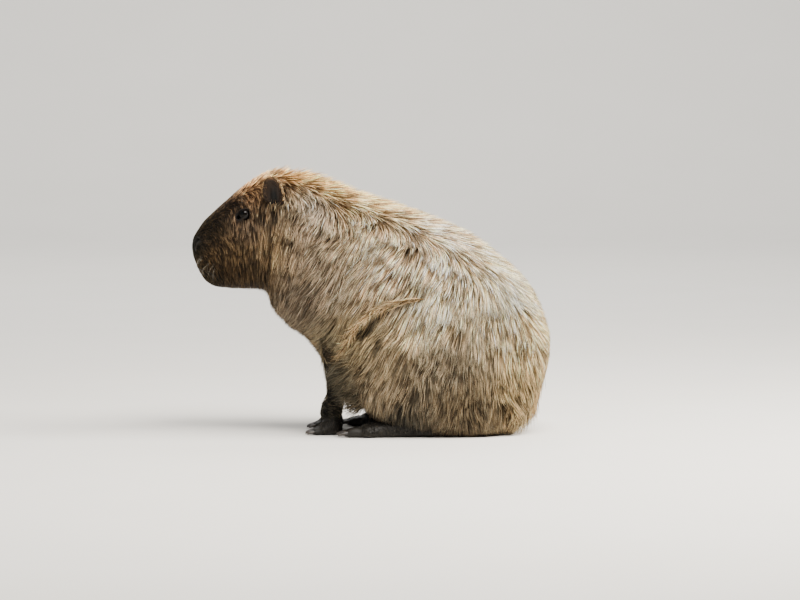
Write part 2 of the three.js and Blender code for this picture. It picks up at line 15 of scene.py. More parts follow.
import bmesh
import bpy
import numpy as np
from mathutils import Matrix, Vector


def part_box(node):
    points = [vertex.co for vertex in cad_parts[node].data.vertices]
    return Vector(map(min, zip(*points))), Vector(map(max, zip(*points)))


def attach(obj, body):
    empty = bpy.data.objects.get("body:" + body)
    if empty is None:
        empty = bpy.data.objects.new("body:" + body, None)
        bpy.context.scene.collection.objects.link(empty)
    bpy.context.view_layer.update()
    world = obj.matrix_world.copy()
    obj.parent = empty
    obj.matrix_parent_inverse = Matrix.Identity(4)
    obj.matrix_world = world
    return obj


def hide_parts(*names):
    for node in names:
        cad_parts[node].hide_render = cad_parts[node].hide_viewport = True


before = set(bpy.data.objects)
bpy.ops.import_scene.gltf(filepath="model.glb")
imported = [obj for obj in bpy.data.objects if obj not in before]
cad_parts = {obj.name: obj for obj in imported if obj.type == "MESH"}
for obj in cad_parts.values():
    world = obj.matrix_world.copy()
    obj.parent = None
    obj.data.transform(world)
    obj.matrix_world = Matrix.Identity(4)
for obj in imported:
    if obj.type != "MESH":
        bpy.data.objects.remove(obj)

Array = np.ndarray
LOG = logging.getLogger("capybara")
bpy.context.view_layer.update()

MM = 0.001
SEED = 11
FLOOR_CLEAR = 0.5  # nothing of the animal comes nearer to the floor than this, apart from its skin
AT_ONCE = 4000  # how many places are measured against a form at a time, to spare memory

# The middle of the right eye in the tables' frame, which places the tables over the solids.
EYE_MIDDLE = np.array([-259.811, 50.178, 456.488])
EYE_OUTWARD = np.array([-0.310, 0.9051, 0.2911])
EYE_RADIUS = 13.0


class Side(Enum):
    """The animal's own sides, as the sign of Y."""

    LEFT = -1
    RIGHT = 1

    @property
    def word(self) -> str:
        """The side as it stands in the names of nodes."""
        return self.name.lower()


def solids_shift() -> Array:
    """How far the solids lie from the tables' frame, in metres, read from the right eye's box."""
    low, high = (np.array(corner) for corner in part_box("eye_right"))
    return (low + high) / 2 - EYE_MIDDLE * MM


SHIFT = solids_shift()


def smoothstep(x: Array, low: float, high: float) -> Array:
    """A soft step from 0 at low to 1 at high."""
    t = np.clip((x - low) / (high - low), 0.0, 1.0)
    return t * t * (3 - 2 * t)


def bell(x: Array, middle: float, reach: float) -> Array:
    """A bell curve: 1 at its middle and 1 / e at its reach to either side."""
    return np.exp(-(((x - middle) / reach) ** 2))


def unit(vectors: Array) -> Array:
    """The vectors, each brought to length 1."""
    return vectors / np.maximum(np.linalg.norm(vectors, axis=-1, keepdims=True), 1e-9)


def linear(code: str) -> Array:
    """An sRGB hex colour as linear red, green and blue."""
    value = np.array([int(code[i : i + 2], 16) / 255 for i in (1, 3, 5)])
    return np.where(value <= 0.04045, value / 12.92, ((value + 0.055) / 1.055) ** 2.4)


def on_the_right(points: Array) -> Array:
    """Places, with those of the left side mirrored on to the right one."""
    return np.stack([points[..., 0], np.abs(points[..., 1]), points[..., 2]], axis=-1)


def to_line(points: Array, line: Array) -> Array:
    """How far places lie from a line of straight stretches.

    Args:
        points: The places, one in each row.
        line: The corners that the stretches join.

    Returns:
        For each place its distance from the nearest stretch.
    """
    best = np.full(len(points), np.inf)
    for start, stop in zip(line[:-1], line[1:]):
        run = stop - start
        t = np.clip((points - start) @ run / (run @ run), 0, 1)
        best = np.minimum(best, np.linalg.norm(points - start - t[:, None] * run, axis=1))
    return best


def ripple(points: Array, size: float, seed: int) -> Array:
    """Smooth chance over space, roughly from -1 to 1: a sum of six sine waves, each running in a
    drawn direction with a wavelength near size.

    Args:
        points: Places in millimetres, with x, y and z last.
        size: The distance over which the value changes.
        seed: Which draw to use.

    Returns:
        One number for each place.
    """
    draw = np.random.default_rng(SEED * 1000 + seed)
    ways = unit(draw.normal(size=(6, 3))) * draw.uniform(0.6, 1.5, (6, 1)) * 2 * np.pi / size
    phases = draw.uniform(0, 2 * np.pi, 6)
    return np.sin(points @ ways.T + phases).sum(axis=-1) / 2.6


# The shape of the flesh


@dataclass(frozen=True)
class Cut:
    """One cut through a limb or the body: its highest and lowest points, half its width, how much
    wider it is below, how square it is, the coat's depth, how the coat lies at its top, side and
    underside in degrees from straight back, and how far out its middle lies."""

    top: tuple[float, float]
    low: tuple[float, float]
    half: float
    egg: float
    square: float
    coat: float
    lie: tuple[float, float, float] = (0, 90, 60)
    out: float = 0.0

    def row(self) -> list[float]:
        """The cut as one row of numbers. Where it sits on the floor its coat is pressed flat."""
        under = self.coat if self.low[1] > 0 else 0.0
        shape = [self.half, self.egg, self.square, self.coat, under]
        return [*self.top, *self.low, *shape, *self.lie, self.out]


# Where each measure stands in a cut's row of numbers.
HALF, EGG, SQUARE, COAT, UNDER, LIE, OUT = 4, 5, 6, 7, 8, 9, 12

# Head, neck and trunk in one, from the nose to the rump.
BODY = [
    Cut((-373, 388), (-373, 388), 0, 0, 2.6, 2, (0, 60, 40)),
    Cut((-354, 431), (-353, 330), 41, 0.0, 2.7, 3, (0, 40, 30)),
    Cut((-328, 459), (-330, 307), 51, 0.04, 2.6, 4, (0, 62, 70)),
    Cut((-298, 486), (-299, 301), 57, 0.12, 2.4, 6, (0, 76, 80)),
    Cut((-262, 517), (-264, 299), 66, 0.18, 2.3, 9, (0, 84, 84)),
    Cut((-224, 541), (-234, 299), 74, 0.18, 2.2, 13, (0, 88, 84)),
    Cut((-180, 553), (-213, 290), 79, 0.14, 2.2, 18, (0, 90, 84)),
    Cut((-122, 541), (-200, 265), 89, 0.12, 2.2, 24, (0, 90, 90)),
    Cut((-54, 514), (-172, 230), 108, 0.12, 2.2, 24, (0, 94, 104)),
    Cut((26, 488), (-126, 193), 129, 0.1, 2.2, 24, (0, 96, 120)),
    Cut((104, 461), (-84, 134), 147, 0.1, 2.2, 24, (0, 92, 110)),
    Cut((182, 430), (-14, 74), 158, 0.12, 2.2, 24, (0, 88, 92)),
    Cut((256, 384), (62, 30), 166, 0.14, 2.2, 24, (0, 74, 60)),
    Cut((322, 320), (150, 2), 164, 0.16, 2.2, 24, (0, 62, 60)),
    Cut((362, 248), (228, -3), 150, 0.14, 2.2, 24, (0, 50, 60)),
    Cut((374, 176), (296, -3), 113, 0.1, 2.1, 22, (0, 40, 60)),
    Cut((351, 80), (351, 80), 0, 0, 2, 20, (0, 40, 60)),
]

THIGH = [
    Cut((-58, 152), (-58, 152), 0, 0, 2, 18, (170, 128, 60), 108),
    Cut((-38, 206), (-40, 104), 38, 0.1, 2.1, 20, (172, 126, 62), 110),
    Cut((14, 262), (-4, 50), 60, 0.14, 2.2, 24, (174, 118, 66), 108),
    Cut((84, 288), (60, 12), 74, 0.16, 2.2, 24, (166, 108, 76), 103),
    Cut((164, 296), (150, -3), 78, 0.16, 2.2, 24, (130, 97, 84), 100),
    Cut((246, 268), (240, -3), 72, 0.16, 2.2, 24, (80, 88, 88), 92),
    Cut((316, 206), (306, 30), 50, 0.1, 2.1, 22, (60, 82, 88), 78),
    Cut((344, 120), (344, 120), 0, 0, 2, 20, (60, 80, 88), 66),
]

FORELEG = [
    Cut((-76, 250), (-76, 250), 0, 0, 2, 10, out=70),
    Cut((-108, 228), (-34, 232), 30, 0, 2.1, 8, out=71),
    Cut((-104, 164), (-32, 160), 26, 0, 2.1, 8, out=71),
    Cut((-92, 112), (-44, 106), 21, 0, 2.1, 6, out=70),
    Cut((-92, 76), (-53, 72), 18, 0, 2.1, 4, out=69),
    Cut((-104, 44), (-60, 36), 19, 0, 2.1, 3, out=68),
    Cut((-84, 18), (-84, 18), 0, 0, 2, 2, out=68),
]

FRONT_FOOT = [
    Cut((-56, 16), (-56, 16), 0, 0, 2, 1, out=68),
    Cut((-66, 38), (-62, -3), 19, 0.1, 2.3, 1, out=68),
    Cut((-86, 34), (-84, -3), 27, 0.2, 2.3, 1, out=68),
    Cut((-104, 22), (-103, -3), 27, 0.1, 2.2, 1, out=68),
    Cut((-113, 10), (-113, 10), 0, 0, 2, 1, out=68),
]

HIND_FOOT = [
    Cut((152, 18), (152, 18), 0, 0, 2, 1, out=118),
    Cut((140, 42), (140, -3), 22, 0.1, 2.2, 2, out=118),
    Cut((86, 40), (86, -3), 24, 0.1, 2.3, 2, out=120),
    Cut((30, 34), (30, -3), 27, 0.15, 2.4, 1, out=121),
    Cut((-12, 26), (-12, -3), 32, 0.15, 2.4, 1, out=122),
    Cut((-28, 10), (-28, 10), 0, 0, 2, 1, out=122),
]

# The fold of skin that runs from the flank down over the knee. Only hair grows on it.
FOLD = [
    Cut((-61, 150), (-61, 150), 0, 0, 2, 4, (176, 160, 150), 92),
    Cut((-57, 192), (-43, 188), 9, 0, 2, 5, (176, 160, 150), 126),
    Cut((-38, 230), (-26, 220), 10, 0, 2, 5, (176, 160, 150), 138),
    Cut((-6, 263), (2, 248), 10, 0, 2, 5, (176, 160, 150), 147),
    Cut((33, 281), (37, 265), 10, 0, 2, 5, (176, 160, 150), 150),
    Cut((79, 290), (81, 276), 9, 0, 2, 5, (176, 160, 150), 150),
    Cut((124, 293), (126, 281), 7, 0, 2, 5, (176, 160, 150), 147),
    Cut((168, 291), (168, 291), 0, 0, 2, 4, (176, 160, 150), 142),
]


class Loft:
    """A closed form carried through a list of cuts, with a smooth curve through each number."""

    def __init__(self, cuts: list[Cut], side: Side = Side.RIGHT) -> None:
        """Keeps the cuts as rows of numbers, with one mirrored row beyond each end so that the
        ends come out round.

        Args:
            cuts: The cuts in order, the first and last of them single points.
            side: The side of the animal that the turn round its cuts runs down first.
        """
        rows = np.array([cut.row() for cut in cuts], dtype=float)
        self.side = side
        self.last = len(cuts) - 1
        self.rows = np.vstack([self._beyond(rows[1]), rows, self._beyond(rows[-2])])

    @staticmethod
    def _beyond(near: Array) -> Array:
        """The cut next to an end, mirrored through the end's own point."""
        turned = near[[2, 3, 0, 1, *range(4, len(near))]]
        turned[HALF] *= -1
        return turned

    def at(self, v: Array) -> Array:
        """The cut at a place, by a Catmull-Rom cubic through the four nearest cuts.

        Args:
            v: How far along the form, where 1 is its second cut.

        Returns:
            The cut's row of numbers for each place.
        """
        v = np.clip(v, 0.0, self.last)
        i = np.minimum(v.astype(int), self.last - 1)
        t = (v - i)[..., None]
        a, b, c, d = (self.rows[i + k] for k in range(4))
        return b + 0.5 * t * (c - a + t * (2 * a - 5 * b + 4 * c - d + t * (3 * (b - c) + d - a)))

    def point(self, v: Array, a: Array, share: Array | float) -> Array:
        """A place on the form: a superellipse in the plane of the cut, wider below than above.

        Args:
            v: How far along the form, where 1 is its second cut.
            a: The turn round the cut, from 0 at its top over a quarter turn at its outer side.
            share: The share of the coat's depth that is left out, 0 at the tips and 1 on the skin.

        Returns:
            Places in millimetres.
        """
        s = self.at(v)
        top, low = s[..., 0:2], s[..., 2:4]
        tall = np.maximum(np.linalg.norm(top - low, axis=-1), 1.0)
        above, below = share * s[..., COAT] / tall, share * s[..., UNDER] / tall
        wide = np.maximum(s[..., HALF] - share * s[..., COAT], 0.02 * s[..., HALF])
        c, w = np.cos(a), np.sin(a)
        k = (np.abs(c) ** s[..., SQUARE] + np.abs(w) ** s[..., SQUARE]) ** (-1 / s[..., SQUARE])
        rise = below + (1 - above - below) * (1 + k * c) / 2
        x, z = np.moveaxis(low + rise[..., None] * (top - low), -1, 0)
        y = self.side.value * (s[..., OUT] + wide * k * w * (1 - s[..., EGG] * k * c))
        return np.stack([x, y, z], axis=-1)

    def lie(self, v: Array, a: Array) -> Array:
        """The way the coat lies: soft steps from the top's lie over the side's to the underside's.

        Args:
            v: How far along the form.
            a: The turn round the cut.

        Returns:
            Angles from straight back towards straight down.
        """
        s = self.at(v)
        turn = np.abs((a + np.pi) % (2 * np.pi) - np.pi)
        down, under = smoothstep(turn, 0.2, 1.0), smoothstep(turn, 1.9, 2.9)
        flat = s[..., LIE] + (s[..., LIE + 1] - s[..., LIE]) * down
        return np.radians(flat + (s[..., LIE + 2] - flat) * under) * np.where(np.sin(a) < 0, -1, 1)

    def end(self, first: bool, share: float) -> Array:
        """A round end's own point, drawn in towards the next cut.

        Args:
            first: Whether it is the first end or the last.
            share: The share of the coat's depth that is left out.

        Returns:
            The place in millimetres.
        """
        near, next_one = (1, 2) if first else (-2, -3)
        point = self.rows[near][[0, OUT, 1]]
        row = self.rows[next_one]
        middle = np.array([(row[0] + row[2]) / 2, row[OUT], (row[1] + row[3]) / 2])
        drawn = point - unit(point - middle) * share * self.rows[near][COAT]
        return drawn * [1, self.side.value, 1]

    def shell(self, rows: int, sides: int, share: float) -> tuple[Array, Array]:
        """The whole form as a closed grid with a point at each end.

        Args:
            rows: How many rows of faces run along it.
            sides: How many run round it.
            share: The share of the coat's depth that is left out.

        Returns:
            Places in millimetres, and the four corners of each face.
        """
        v, a = np.meshgrid(
            np.arange(1, rows) / rows * self.last,
            np.arange(sides) / sides * 2 * np.pi,
            indexing="ij",
        )
        ring = self.point(v, a, share).reshape(-1, 3)
        points = np.vstack([self.end(True, share), self.end(False, share), ring])
        return points, grid_faces(rows - 1, sides)

    def _measured(
        self, points: Array, share: Array | float
    ) -> tuple[Array, Array, Array, Array, Array]:
        """Places as they lie in the planes of the cuts along the form.

        Args:
            points: Places in millimetres.
            share: The share of the coat's depth that is left out, for all or for each place.

        Returns:
            For each place and cut: whether the plane passes close by the place, its height in the
            cut from -1 to 1, its distance sideways as a share of the half width, the half width
            at that height, and the cuts themselves.
        """
        s = self.at(np.arange(0.05, self.last, 0.1))
        share = np.broadcast_to(share, len(points))[:, None]
        top, low = s[:, 0:2], s[:, 2:4]
        tall = np.maximum(np.linalg.norm(top - low, axis=1), 1.0)
        up = (top - low) / tall[:, None]
        ahead = np.stack([up[:, 1], -up[:, 0]], axis=1)
        moves = [np.linalg.norm(np.gradient(edge, axis=0), axis=1) for edge in (top, low)]
        away = points[:, None, [0, 2]] - low
        near = np.abs((away * ahead).sum(-1)) < np.maximum(*moves) * 0.75 + 0.5
        above, below = share * s[:, COAT] / tall, share * s[:, UNDER] / tall
        rise = (away * up).sum(-1) / tall
        c = 2 * (rise - below) / np.maximum(1 - above - below, 0.05) - 1
        wide = np.maximum(s[:, HALF] - share * s[:, COAT], 1.0)
        wide = wide * np.maximum(1 - s[:, EGG] * np.clip(c, -1, 1), 0.2)
        w = (points[:, 1, None] * self.side.value - s[:, OUT]) / wide
        return near, c, w, wide, s

    def depth(self, points: Array, share: float) -> Array:
        """How deep places lie: the size of the superellipse through the place over the size of
        the form's own.

        Args:
            points: Places in millimetres.
            share: The share of the coat's depth that is left out.

        Returns:
            For each place its depth, where below 1 is inside.
        """
        best = []
        for some in np.array_split(points, max(len(points) // AT_ONCE, 1)):
            near, c, w, _, s = self._measured(some, share)
            level = (np.abs(c) ** s[:, SQUARE] + np.abs(w) ** s[:, SQUARE]) ** (1 / s[:, SQUARE])
            best.append(np.where(near, level, 9.0).min(axis=1))
        return np.concatenate(best)

    def outer(self, points: Array, share: Array | float) -> Array:
        """How far out from the animal's middle plane the form's outer side lies, seen at each
        place's own x and z: the superellipse solved for its sideways half.

        Args:
            points: Places in millimetres.
            share: The share of the coat's depth that is left out, for all or for each place.

        Returns:
            Distances in millimetres, far below zero where the form isn't seen.
        """
        found = []
        share = np.broadcast_to(share, len(points))
        parts = max(len(points) // AT_ONCE, 1)
        for some, left in zip(np.array_split(points, parts), np.array_split(share, parts)):
            near, c, _, wide, s = self._measured(some, left)
            w = np.maximum(1 - np.abs(c) ** s[:, SQUARE], 0.0) ** (1 / s[:, SQUARE])
            side = np.where(near & (np.abs(c) < 1), s[:, OUT] + wide * w, -1e3)
            found.append(side.max(axis=1))
        return np.concatenate(found)


def grid_faces(rows: int, sides: int) -> Array:
    """The faces of a grid closed round its sides and by a point at each end.

    Args:
        rows: How many rings there are. Their corners follow the two end points.
        sides: How many corners a ring has.

    Returns:
        Four corners a face, where a face at an end point names that point twice.
    """
    i, j = np.meshgrid(np.arange(rows - 1), np.arange(sides), indexing="ij")
    here = 2 + i * sides + j
    beside = 2 + i * sides + (j + 1) % sides
    body = np.stack([here, beside, beside + sides, here + sides], axis=-1).reshape(-1, 4)
    k = np.arange(sides)
    first = np.stack([np.zeros(sides, int), np.zeros(sides, int), 2 + (k + 1) % sides, 2 + k], -1)
    base = 2 + (rows - 1) * sides
    one = np.ones(sides, int)
    last = np.stack([base + k, base + (k + 1) % sides, one, one], -1)
    return np.vstack([first, body, last])


def piece(name: str, points: Array, loops: Array, sizes: Array) -> bpy.types.Object:
    """A smooth mesh object at the origin, with its place in its mesh.

    Args:
        name: The piece's name.
        points: Its places in millimetres, in the tables' frame.
        loops: The corners of all faces, one after another.
        sizes: How many corners each face has.

    Returns:
        The new object.
    """
    mesh = bpy.data.meshes.new(name)
    mesh.vertices.add(len(points))
    mesh.vertices.foreach_set("co", (points * MM + SHIFT).astype(np.float32).ravel())
    mesh.loops.add(len(loops))
    mesh.loops.foreach_set("vertex_index", loops.astype(np.int32).ravel())
    mesh.polygons.add(len(sizes))
    starts = np.concatenate([[0], np.cumsum(sizes)[:-1]]).astype(np.int32)
    mesh.polygons.foreach_set("loop_start", starts)
    mesh.polygons.foreach_set("use_smooth", np.ones(len(sizes), dtype=bool))
    mesh.update(calc_edges=True)
    made = bpy.data.objects.new(name, mesh)
    bpy.context.collection.objects.link(made)
    return made


def piece_of_grid(name: str, points: Array, faces: Array) -> bpy.types.Object:
    """A closed piece whose faces point outwards.

    Args:
        name: The piece's name.
        points: Its places in millimetres.
        faces: Four corners a face, where a face at an end point loses its doubled corner.

    Returns:
        The new object.
    """
    doubled = faces == faces[:, [1, 2, 3, 0]]
    made = piece(name, points, faces[~doubled], 4 - doubled.sum(axis=1))
    outward(made)
    return made


def outward(made: bpy.types.Object) -> None:
    """Turns the faces of a closed piece so that they point outwards.

    Args:
        made: The piece.
    """
    bm = bmesh.new()
    bm.from_mesh(made.data)
    bmesh.ops.recalc_face_normals(bm, faces=bm.faces)
    bm.to_mesh(made.data)
    bm.free()


def joined_grids(grids: list[tuple[Array, Array]]) -> tuple[Array, Array]:
    """Several grids as one list of places and one of faces."""
    starts = np.cumsum([0] + [len(points) for points, _ in grids[:-1]])
    faces = [faces + start for (_, faces), start in zip(grids, starts)]
    return np.vstack([points for points, _ in grids]), np.vstack(faces)


def paint(made: bpy.types.Object, name: str, colours: Array) -> None:
    """Keeps a colour for each vertex.

    Args:
        made: The piece.
        name: The attribute's name, which its material reads.
        colours: Linear red, green and blue for each vertex.
    """
    layer = made.data.color_attributes.new(name, "FLOAT_COLOR", "POINT")
    rgba = np.concatenate([colours, np.ones((len(colours), 1))], axis=1)
    layer.data.foreach_set("color", rgba.astype(np.float32).ravel())


def places_of(made: bpy.types.Object) -> Array:
    """The places of a piece's vertices, in millimetres."""
    flat = np.empty(len(made.data.vertices) * 3, dtype=np.float32)
    made.data.vertices.foreach_get("co", flat)
    return (flat.reshape(-1, 3) - SHIFT) / MM


def normals_of(made: bpy.types.Object) -> Array:
    """The outward ways of a piece's vertices."""
    flat = np.empty(len(made.data.vertices) * 3, dtype=np.float32)
    made.data.vertex_normals.foreach_get("vector", flat)
    return flat.reshape(-1, 3).astype(float)


def move_to(made: bpy.types.Object, points: Array) -> None:
    """Gives a piece's vertices new places, in millimetres."""
    made.data.vertices.foreach_set("co", (points * MM + SHIFT).astype(np.float32).ravel())
    made.data.update()


# Markings


@dataclass(frozen=True)
class Tint:
    """The colours of a hair where it is rooted, along its middle and at its tip, at one place of
    the animal's side."""

    where: str
    x: float
    z: float
    root: str
    middle: str
    tip: str


# The pale tips high on back, flank, rump and thigh are partly the coat's own and partly painted
# highlight from above; the tints low on the thigh are partly its own darker hair and partly
# painted shade towards the floor.
MARKINGS = [
    Tint("bridge of the nose", -285, 487, "#080503", "#160f0a", "#2b1f14"),
    Tint("forehead", -247, 514, "#3c2a1a", "#8c6645", "#cc9f73"),
    Tint("crown", -212, 534, "#513a24", "#a87c52", "#e0b684"),
    Tint("muzzle, top", -330, 436, "#0b0804", "#17110b", "#28200f"),
    Tint("muzzle, front", -362, 385, "#0a0907", "#1a1813", "#2f2b22"),
    Tint("lower lip", -334, 310, "#0b0a07", "#1c1810", "#322b1c"),
    Tint("lip, side", -322, 366, "#0e0904", "#322517", "#644f32"),
    Tint("jaw", -298, 330, "#0d0804", "#23190d", "#483722"),
    Tint("cheek", -276, 372, "#150e07", "#443420", "#856b49"),
    Tint("jaw, rear", -244, 316, "#100b05", "#2c2012", "#56442b"),
    Tint("under the eye", -250, 420, "#1e150e", "#564433", "#947e65"),
    Tint("cheek, rear", -200, 380, "#241a10", "#6b563c", "#b79c76"),
    Tint("behind the ear", -176, 470, "#271d12", "#6f5e49", "#c0ad8e"),
    Tint("foot of the ear", -203, 462, "#17100a", "#453521", "#846d52"),
    Tint("nape", -142, 550, "#634425", "#be8f59", "#ecc189"),
    Tint("neck, high", -116, 470, "#2a2016", "#83725f", "#d8c9b4"),
    Tint("neck, low", -148, 385, "#231a11", "#695745", "#bca68b"),
    Tint("chest", -142, 275, "#1a130c", "#4b3f30", "#887966"),
    Tint("withers", -70, 520, "#6b4c2c", "#c49964", "#f0cd9c"),
    Tint("back", 10, 492, "#74583a", "#cda675", "#f6d9ac"),
    Tint("flank, high", 10, 418, "#3f3225", "#b1946f", "#e9d4b5"),
    Tint("flank, low", 20, 335, "#4b3b28", "#bfa07d", "#ffe4c2"),
    Tint("shoulder, low", -85, 300, "#2a2017", "#73624f", "#c9b59a"),
    Tint("back, rear", 167, 392, "#896f53", "#eccda6", "#fdebd1"),
    Tint("rump", 300, 300, "#8a7052", "#f2d6aa", "#fff2d6"),
    Tint("rump, low", 356, 190, "#6d5639", "#c7a97c", "#fbe2ba"),
    Tint("seat", 334, 70, "#3d2f1c", "#86704f", "#c2aa82"),
    Tint("thigh, top", 114, 240, "#5c4b34", "#e0c498", "#fff0d2"),
    # Darker towards the floor: partly the coat's own darker hair and partly painted shade.
    Tint("thigh, middle", 150, 150, "#1e140b", "#5b4b37", "#a5967d"),
    Tint("thigh, low", 190, 55, "#171109", "#46392a", "#7f6f55"),
    Tint("knee", -38, 190, "#2d2018", "#806b4a", "#bca67f"),
    Tint("thigh, front", 24, 150, "#22190f", "#62523c", "#a99677"),
    Tint("thigh, front foot of it", 20, 80, "#231a10", "#5d4f3a", "#9f8d72"),
    Tint("foreleg, top", -78, 185, "#1e160d", "#5a4d36", "#91856b"),
    Tint("foreleg", -77, 115, "#0d0c09", "#312d24", "#585242"),
    Tint("front foot", -96, 40, "#100f0c", "#292720", "#474338"),
    Tint("hind foot", 60, 14, "#12100c", "#2e2b24", "#4e4a3f"),
]


# How much of its red, green and blue the coat keeps along the middle of the back, and how far
# from the middle this reaches.
DORSAL_TAN = (0.88, 0.77, 0.62)
DORSAL_REACH = 52.0
TINT_BLUR = 24.0  # how far off a tint still counts in full


def markings(points: Array) -> Array:
    """The colours of the coat over the side of the animal: each place takes the mean of the tints
    round it, weighted by one over the fourth power of how far off they are. A bell across the
    middle of the back turns it tan there.

    Args:
        points: Places in millimetres.

    Returns:
        For each place the linear colours of root, middle and tip.
    """
    spots = np.array([[tint.x, tint.z] for tint in MARKINGS])
    table = np.array([[linear(c) for c in (t.root, t.middle, t.tip)] for t in MARKINGS])
    away = ((points[:, None, [0, 2]] - spots) ** 2).sum(-1) + TINT_BLUR**2
    weights = away**-2.0
    weights /= weights.sum(axis=1, keepdims=True)
    band = bell(points[:, 1], 0, DORSAL_REACH) * smoothstep(points[:, 0], -190, -120)
    tan = 1 - band[:, None, None] * (1 - np.array(DORSAL_TAN))
    return np.tensordot(weights, table, axes=1) * tan


# Painted shade along the line under the fold that runs from the flank to the knee: the line as x
# and z, how much light the painted shade takes, how wide it is, and how far out from the middle
# the flank bears it.
FOLD_SHADE_LINE = [(72, 270), (46, 264), (24, 252), (8, 235), (-8, 217), (-24, 192)]
FOLD_SHADE_DARK = 0.8
FOLD_SHADE_REACH = 9.0
FOLD_SHADE_OUT = 90


def parting(points: Array) -> Array:
    """Painted shade under the fold: how much of their light hairs keep, least along the line under
    the fold, by a bell across it.

    Args:
        points: Places in millimetres.

    Returns:
        A share for each place, 1 away from the line of painted shade.
    """
    line = np.array([(x, 0.0, z) for x, z in FOLD_SHADE_LINE])
    inward = np.where(np.abs(points[:, 1]) > FOLD_SHADE_OUT, 1, 9)
    return 1 - FOLD_SHADE_DARK * bell(to_line(points * [1, 0, 1], line) * inward, 0, FOLD_SHADE_REACH)


# Finishes


def node(
    tree: bpy.types.NodeTree,
    kind: str,
    inputs: dict[str | int, object] | None = None,
    settings: dict[str, object] | None = None,
) -> bpy.types.Node:
    """Adds a node.

    Args:
        tree: The material's node tree.
        kind: The shader node's type, as in TexNoise.
        inputs: What its sockets are given, by name or number: a value, or an output to link.
        settings: Its other properties by name.

    Returns:
        The new node.
    """
    made = tree.nodes.new(f"ShaderNode{kind}")
    for name, value in (settings or {}).items():
        setattr(made, name, value)
    for name, value in (inputs or {}).items():
        if isinstance(value, bpy.types.NodeSocket):
            tree.links.new(value, made.inputs[name])
        else:
            made.inputs[name].default_value = value
    return made


def fresh_material(name: str) -> tuple[bpy.types.Material, Callable[..., bpy.types.Node]]:
    """A material without nodes, and the function that adds one to it."""
    material = bpy.data.materials.new(name)
    material.use_nodes = True
    material.node_tree.nodes.clear()
    return material, partial(node, material.node_tree)


def rgba(code: str) -> tuple[float, float, float, float]:
    """An sRGB hex colour as a linear colour for a socket."""
    return (*linear(code), 1.0)


@dataclass(frozen=True)
class HairFinish:
    """Keratin hair, coarse and dry as it grows. The eye sees matt strands of mixed colour, each
    with a faint broad gleam along it."""

    name: str = "coarse_dry_hair"
    roughness: float = 0.7
    gleam: float = 0.14
    mottle: float = 0.3
    strand: float = 2.4

    def make(self) -> bpy.types.Material:
        """The material, whose colour is each tuft's own, broken up along the hairs.

        Returns:
            The new material.
        """
        material, add = fresh_material(self.name)
        tint = add("Attribute", settings={"attribute_name": "coat_tint"})
        where = add("TexCoord")
        # Single hairs within a tuft are about 0.3 mm thick. Drawn 2.4 mm apart they still show.
        strands = add(
            "TexNoise",
            {"Vector": where.outputs["Object"], "Scale": 1000 / self.strand, "Detail": 2.0},
        )
        bright = add("MapRange", {
            "Value": strands.outputs["Fac"],
            "From Min": 0.3,
            "From Max": 0.7,
            "To Min": 1 - self.mottle,
            "To Max": 1 + self.mottle * 0.7,
        })
        colour = add(
            "VectorMath",
            {0: tint.outputs["Color"], "Scale": bright.outputs["Result"]},
            {"operation": "SCALE"},
        )
        shader = add("BsdfPrincipled", {
            "Base Color": colour.outputs["Vector"],
            "Roughness": self.roughness,
            "Specular IOR Level": self.gleam,
            "IOR": 1.55,
        })
        add("OutputMaterial", {"Surface": shader.outputs["BSDF"]})
        return material


@dataclass(frozen=True)
class SkinFinish:
    """Living hide, thinly greased. Between the hairs the eye sees it dark and pored; on the nose,
    lips and feet it is bare, finely creased like worn leather, with a soft wet gleam."""

    name: str = "pored_living_hide"
    pore: float = 1.5
    crease: float = 3.4
    stubble: float = 1.1
    blotch: float = 14.0

    def make(self) -> bpy.types.Material:
        """The material: its colour follows the markings, its relief is pores and short hair.

        Returns:
            The new material.
        """
        material, add = fresh_material(self.name)
        tint = add("Attribute", settings={"attribute_name": "skin_tint"})
        bare = add("Attribute", settings={"attribute_name": "bare"})
        where = add("TexCoord").outputs["Object"]
        pores = add("TexVoronoi", {"Vector": where, "Scale": 1000 / self.pore})
        creases = add(
            "TexVoronoi",
            {"Vector": where, "Scale": 1000 / self.crease},
            {"feature": "DISTANCE_TO_EDGE"},
        )
        down = add("Mapping", {"Vector": where, "Scale": (1.0, 1.0, 0.16)})
        # Short hairs under a millimetre wide are drawn 1.1 mm apart, running down the face.
        stubble = add(
            "TexNoise",
            {"Vector": down.outputs["Vector"], "Scale": 1000 / self.stubble, "Detail": 3.0},
        )
        relief = add(
            "Mix",
            {0: bare.outputs["Fac"], 2: stubble.outputs["Fac"], 3: creases.outputs["Distance"]},
        )
        blotch = add("TexNoise", {"Vector": where, "Scale": 1000 / self.blotch, "Detail": 4.0})
        shade = add("MapRange", {"Value": blotch.outputs["Fac"], "To Min": 0.6, "To Max": 1.35})
        pitted = add(
            "Math",
            {0: shade.outputs["Result"], 1: pores.outputs["Distance"], 2: 0.35},
            {"operation": "MULTIPLY_ADD"},
        )
        colour = add(
            "VectorMath",
            {0: tint.outputs["Color"], "Scale": pitted.outputs["Value"]},
            {"operation": "SCALE"},
        )
        bump = add(
            "Bump", {"Height": relief.outputs["Result"], "Strength": 0.55, "Distance": 0.0012}
        )
        rough = add("MapRange", {"Value": bare.outputs["Fac"], "To Min": 0.8, "To Max": 0.5})
        shader = add("BsdfPrincipled", {
            "Base Color": colour.outputs["Vector"],
            "Roughness": rough.outputs["Result"],
            "Normal": bump.outputs["Normal"],
            "Specular IOR Level": 0.3,
            "IOR": 1.45,
        })
        add("OutputMaterial", {"Surface": shader.outputs["BSDF"]})
        return material


